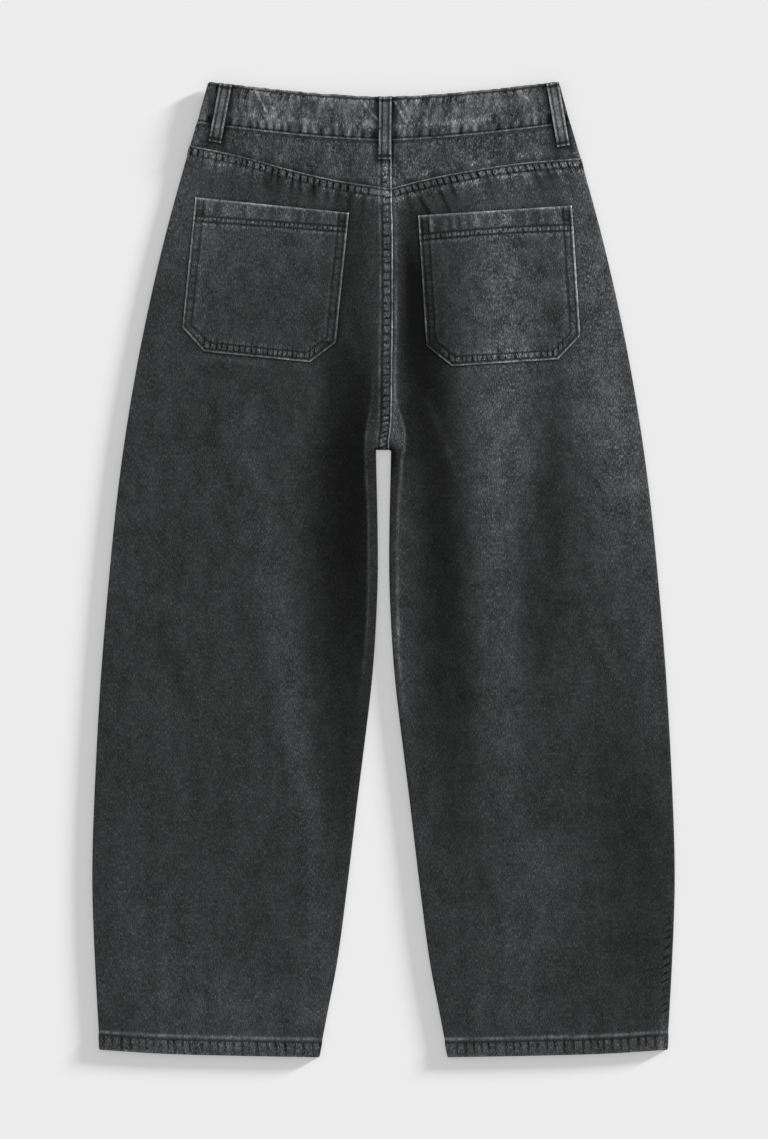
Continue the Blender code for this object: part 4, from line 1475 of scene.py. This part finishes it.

# %% [markdown]
# ## Front of the legs
#
# The front lies on the table and is flat. It gets the same cloth, hem, wash and painted fold
# shade as the back, creases painted as shade and light that fan out from the crotch and cross
# the knees, and the fly seam down the middle.

# %% Front panels
FRONT_CREASES = [
    # start x, start y, end x, end y, half width, tone at the start, tone at the end
    (-22, 170, -92, 206, 5.0, 12, 3), (-20, 150, -104, 168, 6.0, 10, 2),
    (-26, 190, -70, 238, 4.0, 9, 3), (24, 172, 88, 214, 5.5, 11, 3),
    (22, 148, 112, 160, 5.0, 12, 2), (28, 196, 66, 250, 4.0, 7, 2),
    (-96, -30, -164, -58, 8.0, 6, -3), (-110, -92, -150, -84, 7.0, -5, 3),
    (108, -46, 176, -60, 8.0, 5, -4), (126, -110, 170, -96, 6.0, -5, 2),
    (-210, 240, -180, 150, 8.0, 6, 2), (214, 250, 190, 140, 9.0, 5, 3),
    (-120, -300, -132, -390, 8.0, 4, -3), (150, -290, 138, -400, 9.0, -4, 4),
]


def front_cloth(x, y):
    cloth = Cloth(wash_and_fold_shade(x * 0.9 + 12.0, y + 20.0) * 0.6 + 24.0)
    creases_on(cloth, x, y, FRONT_CREASES)
    above_hem = y - hem_y(x)
    cloth.stitched(above_hem - HEM_ROW, x, 131, dark=20.0)
    turned_up = inside(above_hem, -2.0, 14.0, 1.0)
    cloth.drawn_up(turned_up, above_hem < 30, x, 133, 14.0, 44.0)
    cloth.edge += 28.0 * bump_at(above_hem, 17.6, 1.5)
    below_band = seam_y(x) - front_dip(x) - y
    # Painted shade on the front just below the waistband's edge
    cloth.tone -= 16.0 * bump_at(below_band, 1.5, 1.5)
    middle = np.where((y > CROTCH) & (x <= FRONT_SEAM), FRONT_SEAM - x, FAR)
    cloth.folded_edge(middle, y, 134, light=45.0)
    cloth.stitched(middle - ROW_1, y, 137)
    cloth.puckered(middle, y, 139, 2.8, 8.4, 10.0, 32.0)
    # It lies on the table, so its relief stays in the tone alone, as painted shade and light
    cloth.relief[:] = 0
    return cloth


def front_top(x):
    return seam_y(x) - front_dip(x) - SEAM_GAP


def front_leg(side):
    seam_x = FRONT_SEAM if side < 0 else FRONT_SEAM + SEAM_GAP
    near, laps = np.array([0.0, 0.25, 0.6, 1.2]), 8
    rows = leg_rows(front_top, steps((270, 3.4)), steps((582, 4.5), (606, 1.5)))

    def columns_of(above, row_y):
        outer = meet(row_y, outer_half, side)
        inner = side * float(inner_half(CROTCH)) if above else meet(row_y, inner_half, side)
        columns = panel_columns(inner, outer, near, near, 64)
        return np.concatenate([np.linspace(seam_x, inner, laps + 1)[:-1], columns])

    x, y = grid_corners(rows, columns_of)
    skipped = below_crotch(rows, x, laps)
    cloth = front_cloth(x, y)
    from_edge, _, _ = edge_distance(x, y)
    rolled = 0.5 * np.clip(1 - from_edge / 1.0, 0, 1) ** 2
    spots = np.stack([x, y, front_lift(x, y) + rolled], axis=-1)
    flat = np.stack([x, y], -1)
    make_cloth("cloth_front_leg_" + SIDES[side], spots, cloth, flat, WALL - 0.1, skipped, "down")


for side in SIDES:
    front_leg(side)

# %% [markdown]
# ## Button
#
# A shank button is pressed from two metal shells. Its face has a raised rim round a shallow
# dish, and its stem goes through the buttonhole. It is turned on a lathe, so its half
# section is spun round the axis.

# %% Button
BUTTON_PROFILE = [
    # radius and height over the lowest face
    (0.0, 0.55), (1.6, 0.5), (3.4, 0.55), (4.6, 0.7), (5.3, 0.55), (5.9, 0.15), (6.6, 0.0),
    (7.5, 0.1), (8.3, 0.5), (8.6, 1.1), (8.5, 1.7), (7.9, 2.15), (6.0, 2.3), (2.2, 2.35),
    (2.0, 2.7),
]


def blotched_material(name, roughness, gloss, scale, detail, dark, light):
    """A material that varies between two colours in small blotches."""
    material, tree, shader = new_material(name, roughness, gloss)
    place = add_node(tree, "ShaderNodeTexCoord", output="Object")
    noise = {"Vector": place, "Scale": scale, "Detail": detail}
    blotches = place.node("ShaderNodeTexNoise", None, noise)
    mixed = {"Factor": blotches, "A": (*dark, 1.0), "B": (*light, 1.0)}
    colour = place.node("ShaderNodeMix", {"data_type": "RGBA"}, mixed, "Result")
    tree.links.new(colour.socket, shader.inputs["Base Color"])
    return material, shader, blotches


def aged_metal(name):
    """Old metal, rougher where it is lighter."""
    material, shader, blotches = blotched_material(
        name, roughness=0.5, gloss=0.5, scale=900.0, detail=3.0,
        dark=(0.10, 0.095, 0.09), light=(0.32, 0.31, 0.29),
    )
    shader.inputs["Metallic"].default_value = 1.0
    material.node_tree.links.new((blotches * 0.3 + 0.3).socket, shader.inputs["Roughness"])
    return material


def button_y():
    """Level of the middle of the button and the buttonhole."""
    return float(seam_y(0.0)) + 0.5 * float(top_y(0.0) - seam_y(0.0)) - float(front_dip(0.0))


def shank_button():
    under_lap = float(waist_lift(0.0)) + BAND_WALL + SEAM_GAP
    middle_y = button_y()
    section = [*BUTTON_PROFILE, (2.0, under_lap - SEAM_GAP), (0.0, under_lap - SEAM_GAP)]
    mesh = bmesh.new()
    start = bmesh.ops.create_vert(mesh, co=(section[0][0] * MM, middle_y * MM, section[0][1] * MM))
    tip, parts = start["vert"][0], [start["vert"][0]]
    for radius, height in section[1:]:
        drawn = bmesh.ops.extrude_vert_indiv(mesh, verts=[tip])
        tip = drawn["verts"][0]
        tip.co = (radius * MM, middle_y * MM, height * MM)
        parts += [tip, *drawn["edges"]]
    bmesh.ops.spin(
        mesh,
        geom=parts,
        cent=(0.0, middle_y * MM, 0.0),
        axis=(0.0, 0.0, 1.0),
        angle=math.tau,
        steps=48,
        use_merge=True,
    )
    bmesh.ops.remove_doubles(mesh, verts=mesh.verts, dist=1e-6)
    bmesh.ops.recalc_face_normals(mesh, faces=mesh.faces)
    button = to_object("shank_button", mesh, aged_metal("aged_button_metal"))
    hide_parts("waist_button")
    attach(button, "root")
    print("button faces:", len(button.data.polygons))


shank_button()

# %% [markdown]
# ## Sewing
#
# Stitches are real thread here, one small rounded capsule each, lying in the grooves that
# were pressed into the cloth. A row is a path of closely spaced points on the cloth, and
# `sew` measures along it and lays a stitch at every step. All the stitches of one part of
# the garment are joined in one mesh.

# %% Thread
STITCH, PITCH, THREAD = 2.5, 3.4, 0.27
TACK_PITCH, TACK_THREAD = 0.62, 0.3
BATCH = 30

thread, _, _ = blotched_material(
    "faded_black_thread", roughness=0.7, gloss=0.2, scale=260.0, detail=2.0,
    dark=(0.006, 0.006, 0.0062), light=(0.045, 0.046, 0.047),
)


def run_along(path):
    """How far along a path each of its points is."""
    return np.concatenate([[0], np.cumsum(np.linalg.norm(np.diff(path, axis=0), axis=1))])


def even_places(path):
    """Start and end points of even stitches along a path of points."""
    run = run_along(path)
    starts = np.arange(0.5 * PITCH, run[-1] - STITCH, PITCH)
    return zip(*(
        np.stack([np.interp(places, run, path[:, k]) for k in range(3)], -1)
        for places in (starts, starts + STITCH)
    ))


def capsule(mesh, start, end, out, radius):
    """One stitch from start to end, in millimetres, seen from the side that out points to."""
    start, end = Vector(start), Vector(end)
    ahead = (end - start).normalized()
    across = ahead.cross(Vector((0, 0, out))).normalized()
    turn = Matrix((across, across.cross(ahead), ahead)).transposed().to_4x4()
    size = Matrix.Diagonal((radius, radius * 0.8, (end - start).length / 2, 1.0))
    middle = (start + end) / 2 + Vector((0, 0, out * 0.12))
    placed = Matrix.Scale(MM, 4) @ Matrix.Translation(middle) @ turn @ size
    bmesh.ops.create_uvsphere(mesh, u_segments=6, v_segments=5, radius=1.0, matrix=placed)


def add_stitches(mesh, ends, out, radius):
    """Adds stitches in small batches, because Blender slows down as one mesh grows."""
    ends = list(ends)
    for first in range(0, len(ends), BATCH):
        batch = bmesh.new()
        for start, end in ends[first: first + BATCH]:
            capsule(batch, start, end, out, radius)
        data = bpy.data.meshes.new("batch")
        batch.to_mesh(data)
        batch.free()
        mesh.from_mesh(data)
        bpy.data.meshes.remove(data)


def sew(mesh, path, out=1):
    """A row of stitches along a path, on the back (1) or on the front (-1)."""
    add_stitches(mesh, even_places(path), out, THREAD)


def bar_tack(mesh, first, last, across, out=1):
    """Close stitches over a short line, each reaching across it by a vector."""
    count = int(np.linalg.norm(np.subtract(last, first)) / TACK_PITCH)
    reach = np.array(across) / 2
    shares = np.linspace(0, 1, max(count, 2))[:, None]
    middles = np.array(first) * (1 - shares) + np.array(last) * shares
    add_stitches(mesh, zip(middles - reach, middles + reach), out, TACK_THREAD)


def finish_sewing(name, mesh):
    sewing = to_object(name, mesh, thread)
    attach(sewing, "root")
    print(name, "faces:", len(sewing.data.polygons))


# %% Rows on the back panels and the yokes
HEM_PLACES = np.arange(76.0, 274.0, 1.0)


def back_points(x, y):
    x, y = np.broadcast_arrays(x, y)
    return place_back(x, y, back_cloth(x, y))


def yoke_points(x, y):
    return place_back(x, y, yoke_cloth(x, y))


sewing = bmesh.new()
for row in (ROW_1, ROW_2):
    for first, last in ((-188.0, 5.5), (10.5, 188.0)):
        x = np.arange(first, last, 1.0)
        sew(sewing, back_points(x, yoke_y(x) - row))
for row in (CENTRE_ROW_1, CENTRE_ROW_2):
    y = np.arange(CROTCH + 2.0, 377.0, 1.0)
    sew(sewing, back_points(centre_seam(y) - row, y))
    y = np.arange(382.0, 409.0, 1.0)
    sew(sewing, yoke_points(centre_seam(y) - row, y))
for side in SIDES:
    x = side * HEM_PLACES
    sew(sewing, back_points(x, hem_y(x) + HEM_ROW))
finish_sewing("sewing_back", sewing)


# %% Rows on the pockets
def pocket_points(name, u, v):
    return place_pocket(name, u, v, pocket_cloth(name, u, v, POCKET_SEEDS[name]))


def pocket_row(inset, top):
    """u and v along a row round a pocket, at a distance in from its edge."""
    half = POCKET_HALF - inset
    corner_x, corner_y = POCKET_CORNER
    low = POCKET_DEPTH - inset
    shift = inset * (POCKET_SLANT - corner_y) / corner_x
    lean = inset * (POCKET_SLANT - corner_x) / corner_y
    turns = np.array([
        (-half, top), (-half, POCKET_DEPTH - corner_y - shift),
        (-POCKET_HALF + corner_x + lean, low), (POCKET_HALF - corner_x - lean, low),
        (half, POCKET_DEPTH - corner_y - shift), (half, top),
    ])
    run = run_along(turns)
    places = np.arange(0, run[-1], 1.0)
    return np.interp(places, run, turns[:, 0]), np.interp(places, run, turns[:, 1])


sewing = bmesh.new()
for name, (first, second, slope, sag) in POCKET_ROWS.items():
    for inset in (EDGE_ROW_1, EDGE_ROW_2):
        u, v = pocket_row(inset, 2.0)
        sew(sewing, pocket_points(name, u, v))
    for row in (first, second):
        u = np.arange(-POCKET_HALF + 2.0, POCKET_HALF - 2.0, 1.0)
        sew(sewing, pocket_points(name, u, row + slope * u + sag * u * u))
    for side in SIDES:
        u, v = side * np.array([POCKET_TACK, POCKET_TACK]), np.array([2.0, 13.0])
        first_end, last_end = pocket_points(name, u, v)
        bar_tack(sewing, first_end, last_end, (1.6, 0, 0))
finish_sewing("sewing_pockets", sewing)


# %% Rows on the waistband and the belt loops
def band_points(x, up, out):
    """Points on the outside of the waistband: out is 1 on the back and -1 on the front."""
    x, up = np.broadcast_arrays(np.asarray(x, float), np.asarray(up, float))
    if out > 0:
        return np.stack([x, seam_y(x) + up, band_back_height(x) - 0.25], -1)
    return np.stack([x, seam_y(x) + up - front_dip(x), waist_lift(x) + 0.1], -1)


sewing = bmesh.new()
x = np.arange(-178.0, 178.0, 1.0)
depth = top_y(x) - seam_y(x)
for up in (BAND_ROW, depth - 3.2):
    sew(sewing, band_points(x, up, 1))
    front = x < LAP - 2.0
    sew(sewing, band_points(x, up, -1)[front], -1)
for name, loop in LOOPS.items():
    def loop_points(u, v):
        return place_loop(loop, u, v, loop_cloth(u, v, loop.length, LOOP_SEEDS[name]))

    for side in SIDES:
        v = np.arange(1.0, loop.length - 1.0, 1.0)
        u = np.full(v.shape, side * (LOOP_WIDTH / 2 - LOOP_ROW))
        sew(sewing, loop_points(u, v), loop.out)
    for v_tack in (LOOP_TACK, loop.length - LOOP_TACK):
        first_end, last_end = loop_points(np.array([-4.6, 4.6]), np.array([v_tack, v_tack]))
        bar_tack(sewing, first_end, last_end, (0, 1.9, 0), loop.out)
finish_sewing("sewing_waist", sewing)


# %% Rows on the front
def front_points(x, y):
    x, y = np.broadcast_arrays(np.asarray(x, float), np.asarray(y, float))
    return np.stack([x, y, front_lift(x, y) + 0.25], -1)


sewing = bmesh.new()
for side in SIDES:
    x = side * HEM_PLACES
    sew(sewing, front_points(x, hem_y(x) + HEM_ROW), -1)
y = np.arange(CROTCH + 3.0, 400.0, 1.0)
for row in (ROW_1, ROW_2):
    sew(sewing, front_points(FRONT_SEAM - row, y), -1)
# The fly is held by a double row that runs down and curves in to the seam
FLY_TOP, FLY_BEND, FLY_WIDTH, FLY_DROP = 402.0, 296.0, 38.0, 44.0
for inset in (0.0, 6.0):
    down = np.arange(FLY_TOP, FLY_BEND, -1.0)
    bend = np.radians(np.arange(0.0, 81.0, 4.0))
    reach, drop = FLY_WIDTH - inset, FLY_DROP - inset
    x = np.concatenate([np.full(down.shape, -reach), -reach * np.cos(bend)])
    y = np.concatenate([down, FLY_BEND - drop * np.sin(bend)])
    sew(sewing, front_points(x, y), -1)
hole_z = float(waist_lift(0.0)) + 0.15
for lift in (-2.6, 2.6):
    ends = [(x, button_y() + lift, hole_z) for x in (BUTTONHOLE[0] - 0.5, BUTTONHOLE[1] + 0.5)]
    bar_tack(sewing, ends[0], ends[1], (0, 1.8, 0), -1)
finish_sewing("sewing_front", sewing)

# %% [markdown]
# ## Key light
#
# A soft high sun from the upper right lights the cloth alone and models the seams.

# %% Key light
pieces = [
    thing for thing in bpy.context.scene.objects
    if thing.type == "MESH" and not thing.hide_render and thing is not floor
]
sun(
    "cloth_sun", from_right=0.62, from_top=0.78, elevation=42.0, width=20.0, strength=1.5,
    receivers=pieces,
)
